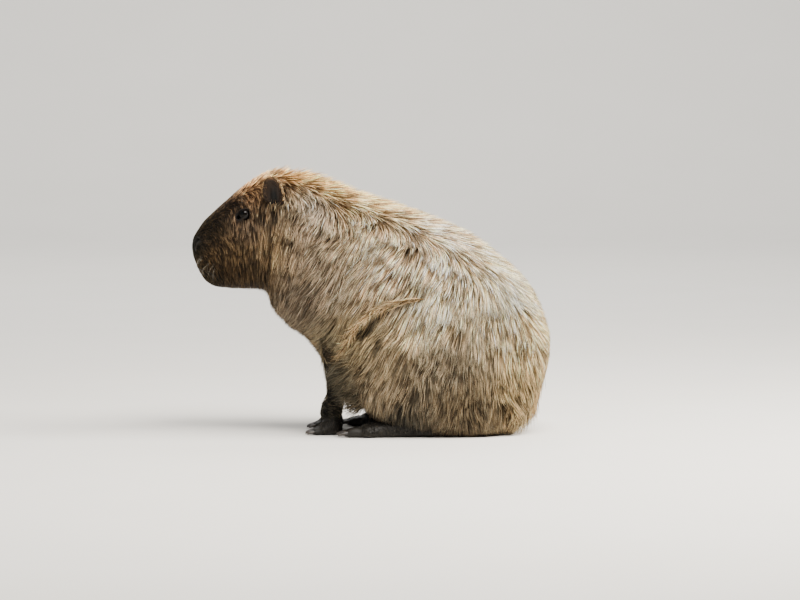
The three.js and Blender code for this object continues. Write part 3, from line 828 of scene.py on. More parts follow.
@dataclass(frozen=True)
class EyeFinish:
    """A wet cornea over a brown-black iris. The eye sees one dark globe with a sharp bright
    point, and a hint of brown round the pupil."""

    name: str = "wet_dark_cornea"
    iris: str = "#0f0905"
    pupil: str = "#020202"
    fibre: float = 1.2

    def make(self) -> bpy.types.Material:
        """The material, whose colour runs from pupil to iris by the eyeball's own mark.

        Returns:
            The new material.
        """
        material, add = fresh_material(self.name)
        ring = add("Attribute", settings={"attribute_name": "from_pupil"})
        where = add("TexCoord").outputs["Object"]
        fibres = add("TexNoise", {"Vector": where, "Scale": 1000 / self.fibre, "Detail": 3.0})
        mixed = add(
            "Math", {0: ring.outputs["Fac"], 1: fibres.outputs["Fac"]}, {"operation": "MULTIPLY"}
        )
        colour = add(
            "Mix",
            {0: mixed.outputs["Value"], 6: rgba(self.pupil), 7: rgba(self.iris)},
            {"data_type": "RGBA"},
        )
        shader = add("BsdfPrincipled", {
            "Base Color": colour.outputs[2],
            "Roughness": 0.05,
            "Specular IOR Level": 0.22,
            "IOR": 1.336,
        })
        add("OutputMaterial", {"Surface": shader.outputs["BSDF"]})
        return material


@dataclass(frozen=True)
class HornFinish:
    """Claw horn, grown in layers and scuffed by walking. The eye sees dark satin with faint rings
    across it and a paler worn edge."""

    name: str = "worn_dark_horn"
    dark: str = "#191512"
    worn: str = "#4d443a"
    half_ring: float = 1.6
    wear: float = 5.0

    def make(self) -> bpy.types.Material:
        """The material, with growth rings and blotches of wear.

        Returns:
            The new material.
        """
        material, add = fresh_material(self.name)
        where = add("TexCoord").outputs["Object"]
        # At scale 1 the wave repeats every 2 pi / 20 m, so these rings lie about 3.2 mm apart.
        per_metre = 1000 / self.half_ring / 6.28
        rings = add(
            "TexWave", {"Vector": where, "Scale": per_metre, "Distortion": 3.0, "Detail": 2.0}
        )
        wear = add("TexNoise", {"Vector": where, "Scale": 1000 / self.wear, "Detail": 4.0})
        worn = add("MapRange", {"Value": wear.outputs["Fac"], "From Min": 0.42, "From Max": 0.75})
        colour = add(
            "Mix",
            {0: worn.outputs["Result"], 6: rgba(self.dark), 7: rgba(self.worn)},
            {"data_type": "RGBA"},
        )
        bump = add("Bump", {"Height": rings.outputs["Fac"], "Strength": 0.3, "Distance": 0.0004})
        shader = add("BsdfPrincipled", {
            "Base Color": colour.outputs[2],
            "Roughness": 0.42,
            "Normal": bump.outputs["Normal"],
            "IOR": 1.55,
        })
        add("OutputMaterial", {"Surface": shader.outputs["BSDF"]})
        return material


# The skin


def body_place(x: float, z: float) -> tuple[Array, Array]:
    """The place of the body's right side, from nose to neck, that is seen from the side at x, z.

    Args:
        x: How far back, in millimetres.
        z: How high.

    Returns:
        The place, and its outward way from the steps to its neighbours.
    """
    loft = Loft(BODY)
    step = 0.02
    v, a = np.meshgrid(np.arange(0.3, 8, step), np.arange(0.15, 3, step), indexing="ij")
    v, a = v.ravel(), a.ravel()
    points = loft.point(v, a, 0.0)
    best = np.argmin(np.hypot(points[:, 0] - x, points[:, 2] - z))
    v0, a0 = v[best : best + 1], a[best : best + 1]
    along = loft.point(v0 + step, a0, 0.0) - points[best]
    around = loft.point(v0, a0 + step, 0.0) - points[best]
    way = unit(np.cross(along, around))[0]
    return points[best], way * np.sign(way[1])


def mirrored(vector: Array, side: Side) -> Array:
    """A place or direction of the right side, on one side."""
    return vector * [1, side.value, 1]


@dataclass(frozen=True)
class Lids:
    """The slanting almond between the lids of the right eye, and the rise of brow and cheek."""

    long: float = 13.8
    high: float = 8.3
    slant: float = 0.55

    def rings(self, folded: Array) -> tuple[Array, ...]:
        """Places as they lie about the eye.

        Args:
            folded: Places in millimetres, mirrored to the right side.

        Returns:
            How far ahead, above and outward each place is, and its almond-shaped ring, which is 1
            on the edge of the lids and drawn out at the front corner.
        """
        n = EYE_OUTWARD
        level = unit(np.array([-n[1], n[0], 0.0]))
        level = level * -np.sign(level[0])
        up = np.cross(level, n)
        up = up * np.sign(up[2])
        ahead = level * math.cos(self.slant) - up * math.sin(self.slant)
        above = level * math.sin(self.slant) + up * math.cos(self.slant)
        away = folded - EYE_MIDDLE
        u, w, h = away @ ahead - 1.2, away @ above, away @ n
        wide = self.long * (1 + 0.3 * smoothstep(u, 0, 14))
        high = self.high * np.where(w > 0, 1.0, 0.9)
        q = (np.abs(u / wide) ** 1.7 + np.abs(w / high) ** 1.7) ** (1 / 1.7)
        return u, w, h, q

    def swell(self, u: Array, w: Array, q: Array) -> Array:
        """How far the face rises round the eye: a bell over the ring and one over the brow.

        Args:
            u: How far ahead of the eye's middle each place is.
            w: How far above it.
            q: Its almond-shaped ring.

        Returns:
            Millimetres along the eye's outward way.
        """
        rise = 5.0 * bell(q, 0, 2.6)
        rise += 2.8 * np.exp(-(((w - 16) / 6.0) ** 2) - (u / 19) ** 2)
        return rise * (1 - smoothstep(q, 4.2, 6.5))


LIDS = Lids()
NOSTRIL = (-362.0, 402.0)
MOUTH = [(-314, 320), (-324, 326), (-336, 331), (-348, 335), (-356, 338), (-360, 340)]


def mouth_line() -> Array:
    """The right half of the line between the lips, closed on to the middle of the muzzle."""
    return np.array([*(body_place(x, z)[0] for x, z in MOUTH), [-364.0, 0.0, 341.0]])


@dataclass(frozen=True)
class Toes:
    """A foot's toes: how many, how far apart in angle, how long and thick, how long their claws
    are, and where they are rooted."""

    count: int
    splay: float
    length: float
    thick: float
    claw: float
    root: float
    out: float
    rows: int = 12
    sides: int = 14

    def line(self, side: Side, i: int) -> tuple[Array, Array]:
        """Where one toe lies.

        Args:
            side: The foot's side.
            i: Which toe, counted outwards from the inner one.

        Returns:
            The toe's tip and the way it points.
        """
        step = i - (self.count - 1) / 2
        turn = step * self.splay * side.value
        ahead = np.array([-math.cos(turn), math.sin(turn), 0.0])
        root = np.array([self.root, side.value * (self.out + step * self.thick * 1.35), 0.0])
        return root + ahead * self.length * (1 - 0.1 * abs(step)), ahead

    def fingers(self, side: Side) -> list[tuple[Array, Array]]:
        """Each toe as an egg whose round end holds the claw: a sphere's rows and sides scaled to
        the toe's length, width and height, with a bell of a knuckle.

        Args:
            side: The foot's side.

        Returns:
            A closed grid for each toe.
        """
        grids = []
        for i in range(self.count):
            tip, ahead = self.line(side, i)
            across = np.array([-ahead[1], ahead[0], 0.0])
            long = self.length * 0.75
            p, q = np.meshgrid(
                np.arange(1, self.rows) / self.rows * np.pi,
                np.arange(self.sides) / self.sides * 2 * np.pi,
                indexing="ij",
            )
            ring = np.stack([np.cos(p), np.sin(p) * np.cos(q), np.sin(p) * np.sin(q)], -1)
            ball = np.vstack([[1, 0, 0], [-1, 0, 0], ring.reshape(-1, 3)])
            size = np.array([long, self.thick * 0.92, self.thick * 1.15])
            middle = tip + ahead * (3.0 - long) + [0, 0, self.thick * 0.62]
            knuckle = 1 + 0.16 * bell(ball[:, :1], 0.1, 0.35)
            local = ball * size * np.hstack([np.ones_like(knuckle), knuckle, knuckle])
            axes = np.stack([ahead, across, [0, 0, 1]])
            grids.append((middle + local @ axes, grid_faces(self.rows - 1, self.sides)))
        return grids


FRONT_TOES = Toes(count=4, splay=0.26, length=26, thick=8.5, claw=11, root=-98, out=68)
HIND_TOES = Toes(count=3, splay=0.16, length=40, thick=11, claw=15, root=-14, out=122)


@dataclass
class Ear:
    """One small rounded ear: a thick leaf, hollowed on the side that opens forwards and outwards,
    with a rolled rim and two low folds in its hollow."""

    side: Side
    height: float = 73.0
    width: float = 48.0
    thick: float = 13.0
    lean: float = 0.3
    turn: float = 0.42
    last: float = 1.0
    hair: float = 5.0
    sunk: float = 16.0

    def __post_init__(self) -> None:
        """Reads the ear's place from its solid and works out the way its leaf stands."""
        low, high = (np.array(corner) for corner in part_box(f"ear_{self.side.word}"))
        self.middle = ((low + high) / 2 - SHIFT) / MM
        yaw = -self.turn if self.side is Side.LEFT else math.pi + self.turn
        roll = -self.side.value * self.lean
        c, s, cr, sr = math.cos(yaw), math.sin(yaw), math.cos(roll), math.sin(roll)
        about_z = np.array([[c, -s, 0], [s, c, 0], [0, 0, 1]])
        about_x = np.array([[1, 0, 0], [0, cr, -sr], [0, sr, cr]])
        self.axes = about_x @ about_z

    def point(self, v: Array, a: Array, share: Array | float) -> Array:
        """A place on the leaf: an egg in cuts across its height, from its root at v = 0 to its tip
        at v = 1, where a = 0 is its back. In front it is pressed in by a bowl, ridges run up the
        bowl, and its root is sunk into the head.

        Args:
            v: How far up the leaf.
            a: The turn round it.
            share: The share of the hair's depth that is left out.

        Returns:
            Places in millimetres.
        """
        theta = np.clip(v, 0.001, 0.999) * np.pi
        front = self.side.value
        grow = (1 - share) * self.hair * 0.4
        rise = -np.cos(theta)
        full = np.sin(theta) ** 0.66
        narrow = 1 - 0.3 * smoothstep(-rise, 0.1, 1.0) - 0.08 * smoothstep(rise, 0.0, 0.95)
        x = (self.width / 2 * narrow + grow) * full * np.sin(a)
        y = (self.thick / 2 + grow) * full * np.cos(a)
        out = np.sqrt((np.sin(a) * full) ** 2 + rise**2)
        bowl = smoothstep(1 - out, 0.12, 0.55) * smoothstep(-np.cos(a), 0.0, 0.5)
        folds = 2.2 * bell(x * front, 5, 2.4) * smoothstep(rise, -0.7, 0.2)
        folds += 1.8 * bell(x * front, -6, 2.0) * smoothstep(-rise, -0.5, 0.2)
        y = y + bowl * (self.thick * 0.82 - folds)
        notch = 1.2 * bell(rise, 0.25, 0.16) * smoothstep(-np.sin(a) * front, 0.6, 1)
        x = x + (notch + 2.4 * rise) * front
        z = (self.height / 2 + grow) * rise
        curl = 2.6 * smoothstep(out, 0.8, 1.0) * smoothstep(-np.cos(a), -0.4, 0.4)
        sink = self.sunk * smoothstep(-rise, 0.3, 0.95)
        return self.middle + np.stack([x, y - curl + sink, z], axis=-1) @ self.axes.T

    def lie(self, v: Array, a: Array) -> Array:
        """The hair runs from the root of the ear to its rim, slightly backwards."""
        return 0.15 * np.sin(a)

    def cup(self, points: Array) -> Array:
        """Painted shade in the ear's hollow: how far down in its slit places are, by a bell across
        it and along it.

        Args:
            points: Places in millimetres.

        Returns:
            For each place 1 at the bottom of the hollow, where the painted shade is darkest, and 0
            outside it and behind the leaf.
        """
        x, y, z = np.moveaxis((points - self.middle) @ self.axes, -1, 0)
        y = y - self.sunk * smoothstep(-z / self.height * 2, 0.3, 0.95)
        pit = np.exp(-(((x * self.side.value - 1) / 8.0) ** 2) - ((z + 11) / 19) ** 2)
        return np.minimum(1.7 * pit, 1.0) * smoothstep(-y, -6.0, -5.0)

    def hide(self, points: Array) -> Array:
        """The leaf's own brown, with painted shade, nearly black, down in its hollow."""
        pit = self.cup(points)[:, None]
        # Painted shade: black mixed in down in the hollow.
        return linear("#281c12") * (1 - pit) + linear("#000000") * pit

    def grid(self, rows: int = 64, sides: int = 72) -> tuple[Array, Array]:
        """The bare leaf as a closed grid.

        Args:
            rows: How many rows of faces run up it.
            sides: How many run round it.

        Returns:
            Places in millimetres, and the four corners of each face.
        """
        v, a = np.meshgrid(
            np.arange(1, rows) / rows, np.arange(sides) / sides * 2 * np.pi, indexing="ij"
        )
        ends = self.point(np.array([0.0, 1.0]), np.zeros(2), 1.0)
        ring = self.point(v, a, 1.0).reshape(-1, 3)
        return np.vstack([ends, ring]), grid_faces(rows - 1, sides)


@dataclass
class Skin:
    """The whole hide in one surface: the forms of body and limbs with their coat left out, melted
    into one another, then made finer round the eyes, nose and mouth, where lids, brow, nostrils,
    lips and folds are drawn."""

    voxel: float = 4.1
    form_floor: float = 0.2
    sole: float = 0.25
    face_behind: float = -150.0
    rows: int = 90
    sides: int = 72

    def build(self) -> bpy.types.Object:
        """Makes the hide and its colours.

        Returns:
            The finished object.
        """
        raw = piece_of_grid("skin_raw", *joined_grids(self._forms()))
        remesh = raw.modifiers.new("melt", "REMESH")
        remesh.mode = "VOXEL"
        remesh.voxel_size = self.voxel * MM
        soft = raw.modifiers.new("soften", "SMOOTH")
        soft.factor = 0.5
        soft.iterations = 5
        graph = bpy.context.evaluated_depsgraph_get()
        mesh = bpy.data.meshes.new_from_object(raw.evaluated_get(graph))
        bpy.data.objects.remove(raw)
        self._finer(mesh)
        made = bpy.data.objects.new("skin", mesh)
        bpy.context.collection.objects.link(made)
        self._draw_face(made)
        self._draw_body(made)
        self._add_ears(made)
        self._colour(made)
        return made

    def _forms(self) -> list[tuple[Array, Array]]:
        """The closed forms that melt together.

        Returns:
            For each its places and faces.
        """
        grids = [Loft(BODY).shell(self.rows * 2, self.sides * 2, 1.0)]
        for side in Side:
            for cuts in (THIGH, FORELEG, FRONT_FOOT, HIND_FOOT):
                grids.append(Loft(cuts, side).shell(self.rows, self.sides, 1.0))
            grids += FRONT_TOES.fingers(side) + HIND_TOES.fingers(side)
        lowest = [-np.inf, -np.inf, self.form_floor]
        return [(np.maximum(points, lowest), faces) for points, faces in grids]

    def _finer(self, mesh: bpy.types.Mesh) -> None:
        """Halves the edges round the eyes, nose and mouth, then once more close to them.

        Args:
            mesh: The melted hide, which is changed.
        """
        line = mouth_line()
        spots = [(EYE_MIDDLE, 27.0), (body_place(*NOSTRIL)[0], 16.0)]
        for wider in (20.0, 0.0):
            bm = bmesh.new()
            bm.from_mesh(mesh)
            bm.verts.ensure_lookup_table()
            folded = on_the_right((np.array([vert.co for vert in bm.verts]) - SHIFT) / MM)
            inside = to_line(folded, line) < 9.0 + wider
            for middle, reach in spots:
                inside |= np.linalg.norm(folded - middle, axis=1) < reach + wider
            edges = [e for e in bm.edges if inside[e.verts[0].index] and inside[e.verts[1].index]]
            bmesh.ops.subdivide_edges(bm, edges=edges, cuts=1, use_grid_fill=True, smooth=0.0)
            bm.to_mesh(mesh)
            bm.free()
        mesh.polygons.foreach_set("use_smooth", np.ones(len(mesh.polygons), dtype=bool))

    def _draw_face(self, made: bpy.types.Object) -> None:
        """Moves the head's vertices: socket, lids and brow round each eye, then nostrils, the
        cleft of the nose, the lips and the folds of the cheek. Both sides are worked out on the
        right one and turned back.

        Args:
            made: The hide.
        """
        points = places_of(made)
        flip = np.where(points[:, 1:2] < 0, [1, -1, 1], 1)
        folded, ways = points * flip, normals_of(made) * flip
        head = folded[:, 0] < self.face_behind
        move = np.zeros_like(points)
        move[head] = self._eye_moves(folded[head])
        move += ways * self._muzzle_height(folded + move, head)[:, None]
        move_to(made, np.where(head[:, None], (folded + move) * flip, points))

    def _eye_moves(self, folded: Array) -> Array:
        """How far vertices of the right side move along the eye's outward way.

        q is the distance from the middle of the eye in almond-shaped rings, 1 on the lid's edge.
        Inside it the skin drops behind the ball. On it the lid stands just off the ball, thick and
        rounded, and further out it runs into a shallow crease, the brow and the cheek.

        Args:
            folded: Places in millimetres, mirrored to the right side.

        Returns:
            A move in millimetres for each place.
        """
        u, w, h, q = LIDS.rings(folded)
        ball = np.sqrt(np.maximum(EYE_RADIUS**2 - u**2 - w**2, 0.0))
        face = h + LIDS.swell(u, w, q)
        lid = np.maximum(ball + 1.7, 5.2)
        crease = 1.3 * bell(q, 1.75, 0.16) * smoothstep(w, -6, 8)
        crease += 0.9 * bell(q, 1.9, 0.2) * smoothstep(-w, -4, 8)
        out = lid + (face - lid) * smoothstep(q, 1.12, 1.9) - crease
        inner = ball - 4.5
        target = inner + (out - inner) * smoothstep(q, 0.9, 1.04)
        close = (h > -26) & (q < 7)
        strength = np.where(close, 1 - smoothstep(q, 4.2, 6.5), 0.0)
        return ((target - h) * strength)[:, None] * EYE_OUTWARD

    def _muzzle_height(self, points: Array, head: Array) -> Array:
        """How far the muzzle's skin rises: a dip along the mouth between two full lips, a pit and
        a raised wing at the nostril, the cleft of the nose, and folds behind mouth and nose.

        Args:
            points: Places in millimetres, mirrored to the right side.
            head: Which of them are on the head.

        Returns:
            Millimetres along the normal for each place.
        """
        lips = to_line(points, mouth_line())
        rise = -3.4 * bell(lips, 0, 1.5) + 2.1 * bell(lips, 5, 3.2)
        place, way = body_place(*NOSTRIL)
        away = points - place
        slant = unit(np.array([0.35, 0.62, 0.7]))
        slant = unit(slant - way * (slant @ way))
        cross = np.cross(way, slant)
        along, over = away @ slant, away @ cross
        bend = over - 0.05 * along**2
        pit = np.sqrt((along / 8.5) ** 2 + (bend / 3.6) ** 2)
        close = np.linalg.norm(away, axis=1) < 24
        rise += np.where(close, -8.5 * np.exp(-(pit**2.4)), 0)
        rise += np.where(close, 2.2 * bell(pit, 1.7, 0.5), 0)
        front = smoothstep(-points[:, 0], 338, 356)
        cleft = smoothstep(points[:, 2], 338, 350) * (1 - smoothstep(points[:, 2], 398, 412))
        rise -= 2.2 * bell(points[:, 1], 0, 1.7) * cleft * front
        for start, stop, deep in (
            ((-306, 330), (-296, 352), 1.3),
            ((-298, 318), (-284, 344), 1.1),
            ((-352, 404), (-330, 414), 1.0),
            ((-344, 392), (-322, 398), 0.8),
        ):
            line = np.array([body_place(*start)[0], body_place(*stop)[0]])
            rise -= deep * bell(to_line(points, line), 0, 2.4)
        return np.where(head, rise, 0.0)

    def _draw_body(self, made: bpy.types.Object) -> None:
        """Wrinkles the feet and lower legs by two ripples, and flattens what rests on the floor.

        Args:
            made: The hide.
        """
        points = places_of(made)
        low = (1 - smoothstep(points[:, 2], 30, 90)) * smoothstep(-points[:, 0], -170, -120)
        rough = ripple(points * [1.0, 1.0, 2.2], 9.0, 1) * 0.5 + ripple(points, 5.0, 2) * 0.25
        points = points + normals_of(made) * (low * rough)[:, None]
        points[:, 2] = np.maximum(points[:, 2], self.sole)
        move_to(made, points)

    def _add_ears(self, made: bpy.types.Object) -> None:
        """Puts both ears' leaves into the hide's own mesh.

        Args:
            made: The hide.
        """
        bm = bmesh.new()
        bm.from_mesh(made.data)
        for side in Side:
            leaf = piece_of_grid(f"leaf_{side.word}", *Ear(side).grid())
            bm.from_mesh(leaf.data)
            bpy.data.objects.remove(leaf)
        bm.to_mesh(made.data)
        bm.free()

    def _colour(self, made: bpy.types.Object) -> None:
        """Colours the hide by the coat's own markings, darker, adds painted shade in the nostrils
        and in the ears' hollows, and marks how bare it is on nose, lips, lids, feet and ears.

        Args:
            made: The hide.
        """
        points = places_of(made)
        folded = on_the_right(points)
        tints = markings(points)
        colour = tints[:, 0] * 0.6 + tints[:, 1] * 0.25
        lips = 1 - smoothstep(to_line(folded, mouth_line()), 4, 10)
        nose = smoothstep(-points[:, 0], 344, 358) * smoothstep(points[:, 2], 352, 380)
        feet = (1 - smoothstep(points[:, 2], 26, 50)) * smoothstep(-points[:, 0], -150, -110)
        _, _, h, q = LIDS.rings(folded)
        lids = np.where(h > -20, 1 - smoothstep(q, 1.15, 1.6), 0.0)
        bare = np.clip(lips + nose + feet, 0, 1)
        colour = colour * (1 - bare)[:, None] + linear("#1d1a15") * bare[:, None]
        # Painted shade in each nostril: the hide darkened most in its middle.
        nostril_shade = np.exp(-((np.linalg.norm(folded - body_place(*NOSTRIL)[0], axis=1) / 6.5) ** 4))
        colour *= 1 - 0.85 * nostril_shade[:, None]
        colour = colour * (1 - lids)[:, None] + linear("#0b0806") * lids[:, None]
        for side in Side:
            ear = Ear(side)
            leaf = 1 - smoothstep(np.linalg.norm(points - ear.middle, axis=1), 30, 40)
            # The ears' hide carries painted shade down in their hollows.
            colour = colour * (1 - leaf)[:, None] + ear.hide(points) * leaf[:, None]
            bare = np.maximum(bare, leaf * 0.5)
        paint(made, "skin_tint", colour)
        layer = made.data.attributes.new("bare", "FLOAT", "POINT")
        layer.data.foreach_set("value", np.maximum(bare, lids * 0.6).astype(np.float32))


# The coat


# How far out a triangle's corners lie for each unit of half its width: 2 over the root of 3.
THREE_CORNERED = 1.155


@dataclass
class Zone:
    """A stretch of coat: the form that it grows on, from where to where, how many tufts it has,
    and by place along the form how long, wide, raised and wavy they are.

    along lists the places that the next four lists belong to, and lock is how many tufts a lock
    has. covered_by are forms that its roots keep clear of, and climbs_from is the x from which its
    tufts run on over them. free is how far tufts run straight instead of following the form, fall
    the way they hang then, stray how unevenly they lie. rings is how many rings a tuft has, and
    tints are its colours where they aren't the markings'.
    """

    name: str
    form: Loft | Ear
    span: tuple[float, float]
    turn: tuple[float, float]
    count: int
    along: list[float]
    length: list[float]
    width: list[float]
    lift: list[float]
    wave: list[float]
    lock: float
    covered_by: list[Loft] = field(default_factory=list)
    climbs_from: float | None = None
    free: float = 0.0
    fall: tuple[float, float, float] | None = None
    stray: float = 1.0
    rings: int = 3
    tints: tuple[str, str, str] | None = None
    slot: str = "coat"
    seed: int = 0

    def by_place(self, values: list[float], v: Array) -> Array:
        """A listed measure at place v along the form."""
        return np.interp(v, self.along, values)


@dataclass(frozen=True)
class Tuft:
    """The solid that is repeated: a flat blade of three-cornered rings that ends in one point."""

    rings: int
    flat: float = 0.42

    @property
    def swell(self) -> tuple[float, ...]:
        """How wide each ring is, as a share of the tuft's width."""
        return (0.6, 1.0, 0.72) if self.rings == 3 else (0.8, 0.9)

    def faces(self) -> tuple[Array, Array, Array]:
        """The blade's faces: a lid at its root, rings of four-cornered faces and a point.

        Returns:
            The corners of all faces, how many each has, and each corner's place on a unit patch.
        """
        loops: list[int] = [2, 1, 0]
        sizes: list[int] = [3]
        marks: list[tuple[float, float]] = [(0, 0), (1, 0), (0.5, 0.1)]
        heights = np.linspace(0.12, 1.0, self.rings + 1)
        for ring in range(self.rings - 1):
            for k in range(3):
                here, beside = ring * 3 + k, ring * 3 + (k + 1) % 3
                loops += [here, beside, beside + 3, here + 3]
                sizes.append(4)
                low, high = heights[ring], heights[ring + 1]
                marks += [(k / 3, low), ((k + 1) / 3, low), ((k + 1) / 3, high), (k / 3, high)]
        top = (self.rings - 1) * 3
        for k in range(3):
            loops += [top + k, top + (k + 1) % 3, top + 3]
            sizes.append(3)
            marks += [
                (k / 3, heights[-2]),
                ((k + 1) / 3, heights[-2]),
                ((k + 0.5) / 3, 1.0),
            ]
        return np.array(loops), np.array(sizes), np.array(marks)


@dataclass
class Coat:
    """The coat of one zone: tufts rooted in the skin, carried over the form along its lie, drawn
    together in locks towards their tips."""

    zone: Zone
    patch: float = 0.003
    root_share: float = 1.06
    pull: float = 0.75
    reach: float = 7.0
    # dark_locks and dark: a share of the locks drawn darker, partly darker hair and partly painted
    # shade between locks.
    dark_locks: float = 0.42
    dark: float = 0.34
    light: float = 1.3
    rich: float = 0.92
    rich_pale: float = 0.34

    @property
    def tuft(self) -> Tuft:
        """The solid that is repeated."""
        return Tuft(self.zone.rings)

    def build(self) -> bpy.types.Object:
        """Grows the zone's tufts.

        Returns:
            The finished piece, coloured and with its OFBake map.
        """
        zone = self.zone
        draw = np.random.default_rng(SEED * 77 + zone.seed)
        v, a = self._roots(draw, zone.count)
        locks_v, locks_a = self._roots(draw, max(int(zone.count / zone.lock), 8))
        own = self._comb(v, a, draw)
        if zone.name.startswith("head"):
            own, v, a = self._round_the_eye(own, v, a)
        lead = self._comb(locks_v, locks_a, draw)
        nearest = self._nearest(own["rows"][0], lead["rows"][0])
        points, bright = self._blades(own, lead, nearest, draw)
        made, order = self._mesh(points)
        self._colour(made, own["rows"], bright, draw)
        self._bake_map(made, v, a, order)
        return made

    @staticmethod
    def _round_the_eye(
        own: dict[str, Array], v: Array, a: Array
    ) -> tuple[dict[str, Array], Array, Array]:
        """Leaves out the tufts that would cross the eye, the nostril or the mouth, raises the rest
        with brow and cheek, and brightens those in a line over the upper lid.

        Args:
            own: The tufts' rows of places and what goes with them.
            v: Their roots' places along the head.
            a: Their roots' turns round it.

        Returns:
            The same three for the tufts that are kept.
        """
        rows = own["rows"]
        folded = on_the_right(rows)
        u, w, h, q = LIDS.rings(folded)
        near = h > -26
        keep = ~((q < 1.12) & near).any(axis=0)
        nose = body_place(*NOSTRIL)[0]
        keep &= np.linalg.norm(folded[0] - nose, axis=1) > 8.5
        keep &= to_line(folded[0], mouth_line()) > 2.2
        rise = np.where(near, LIDS.swell(u, w, q), 0.0)[..., None] * EYE_OUTWARD
        rise[..., 1] *= np.sign(rows[..., 1])
        own["rows"] = rows + rise
        own["brow"] = 1 + 1.4 * bell(q[0], 1.7, 0.35) * smoothstep(w[0], 3, 9) * near[0]
        kept = {
            name: part[:, keep] if part.ndim == 3 else part[keep] for name, part in own.items()
        }
        return kept, v[keep], a[keep]

    def _roots(self, draw: np.random.Generator, count: int) -> tuple[Array, Array]:
        """Draws places spread evenly over the form's own surface, and leaves out those that
        another form covers.

        The form is cut in small cells, each drawn as often as its area is large for the length
        and width of the tufts there.

        Args:
            draw: The draw to use.
            count: How many places are wanted.

        Returns:
            How far along the form each place is, and its turn round it.
        """
        zone = self.zone
        v, a = np.meshgrid(
            np.linspace(*zone.span, 161), np.linspace(*zone.turn, 121), indexing="ij"
        )
        grid = zone.form.point(v, a, 0.5)
        down, over = grid[1:, :-1] - grid[:-1, :-1], grid[:-1, 1:] - grid[:-1, :-1]
        area = np.linalg.norm(np.cross(down, over), axis=-1)
        size = zone.by_place(zone.length, v) * zone.by_place(zone.width, v)
        weights = (area / size[:-1, :-1]).ravel()
        found_v, found_a = np.empty(0), np.empty(0)
        while len(found_v) < count:
            cells = draw.choice(len(weights), size=count, p=weights / weights.sum())
            i, j = np.divmod(cells, area.shape[1])
            v_new = v[i, 0] + draw.random(count) * (v[1, 0] - v[0, 0])
            a_new = a[0, j] + draw.random(count) * (a[0, 1] - a[0, 0])
            places = zone.form.point(v_new, a_new, 1.0)
            free = np.ones(count, dtype=bool)
            for other in zone.covered_by:
                free &= other.depth(places, 1.0) > 0.99
            free &= places[:, 2] > 3.0
            if free.mean() < 0.02:
                raise ValueError(f"{zone.name} lies wholly under other forms")
            found_v = np.concatenate([found_v, v_new[free]])
            found_a = np.concatenate([found_a, a_new[free]])
        return found_v[:count], found_a[:count]

    def _comb(
        self, v: Array, a: Array, draw: np.random.Generator
    ) -> dict[str, Array]:
        """Carries each tuft over the form along the coat's lie, rising from the skin to the tips.

        Args:
            v: Their roots' places along the form.
            a: Their roots' turns round it.
            draw: The draw to use.

        Returns:
            By name: the rows of places, the outward way and the way across at each row, the place
            along the form one step past the tips, and how much the brow brightens each tuft.
        """
        form, zone = self.zone.form, self.zone
        steps = self.tuft.rings
        start = form.point(v, a, 0.0)
        length = zone.by_place(zone.length, v) * (
            1 + 0.16 * ripple(start, 60, 3) + 0.22 * (draw.random(len(v)) - 0.5)
        )
        lift = zone.by_place(zone.lift, v) * (draw.random(len(v)) ** 2.2)
        bend = 0.13 * ripple(start, 95, 4) + 0.1 * ripple(start, 34, 5)
        bend = zone.stray * (bend + 0.2 * (draw.random(len(v)) - 0.5))
        curl = zone.stray * (0.3 * (draw.random(len(v)) - 0.5) + 0.16 * ripple(start, 50, 6))
        rows, outs, acrosses = [], [], []
        small = 0.01
        turn_sign = np.where(np.sin(a) < 0, -1.0, 1.0)
        for i in range(steps + 1):
            t = i / steps
            share = self.root_share * (1 - t) ** 1.25 - lift * t**1.6 + 0.1 * t
            here = form.point(v, a, share)
            along = (form.point(v + small, a, share) - here) / small
            around = (form.point(v, a + small, share) - here) / small
            turn = form.lie(v, a) + (bend + curl * (t - 0.3)) * turn_sign
            ahead = unit(
                unit(along) * np.cos(turn)[:, None] + unit(around) * np.sin(turn)[:, None]
            )
            out = unit(np.cross(along, around))
            grown = form.point(v, a, share - 0.3) - here
            out *= np.where((out * grown).sum(-1) < 0, -1.0, 1.0)[:, None]
            rows.append(self._over_others(here, share))
            outs.append(out)
            acrosses.append(unit(np.cross(ahead, out)))
            step = length / steps
            v = np.clip(
                v + step * np.cos(turn) / np.maximum(np.linalg.norm(along, axis=1), 4.0),
                0.03 * form.last / 16,
                form.last * 0.995,
            )
            a = a + step * np.sin(turn) / np.maximum(np.linalg.norm(around, axis=1), 4.0)
        found = np.array(rows)
        t = (np.arange(steps + 1) / steps)[:, None, None]
        straight = found[0] + (found[1] - found[0]) * t * steps
        if zone.fall:
            way = np.array(zone.fall) + draw.normal(0, 0.13 * zone.stray, start.shape)
            way = unit(way * [1, form.side.value, 1])
            straight = found[0] + way * (length[:, None] * t)
        found = found + (straight - found) * zone.free * t
        return {
            "rows": found,
            "out": np.array(outs),
            "across": np.array(acrosses),
            "v": v,
            "brow": np.ones(len(v)),
        }

    def _over_others(self, places: Array, share: Array) -> Array:
        """Lifts places sideways on to a form that would cover them, so that the coat runs on over
        it: a smooth maximum of how far out the two surfaces lie. It fades in along X where the
        zone says, because further forward the covering form stands clear of the coat.

        Args:
            places: Places in millimetres.
            share: For each the share of the coat's depth that is left out.

        Returns:
            The lifted places.
        """
        zone = self.zone
        if zone.climbs_from is None:
            return places
        own = np.abs(places[:, 1])
        other = np.max([form.outer(places, share) for form in zone.covered_by], axis=0)
        soft = 12.0
        h = np.clip(0.5 + 0.5 * (other - own) / soft, 0, 1)
        risen = own * (1 - h) + np.maximum(other, -900) * h + soft * h * (1 - h)
        weight = smoothstep(places[:, 0], zone.climbs_from, zone.climbs_from + 80)
        weight = weight * (1 - smoothstep(other - own, 38, 58))
        lifted = places.copy()
        lifted[:, 1] = np.sign(places[:, 1]) * (own + (risen - own) * weight)
        return lifted

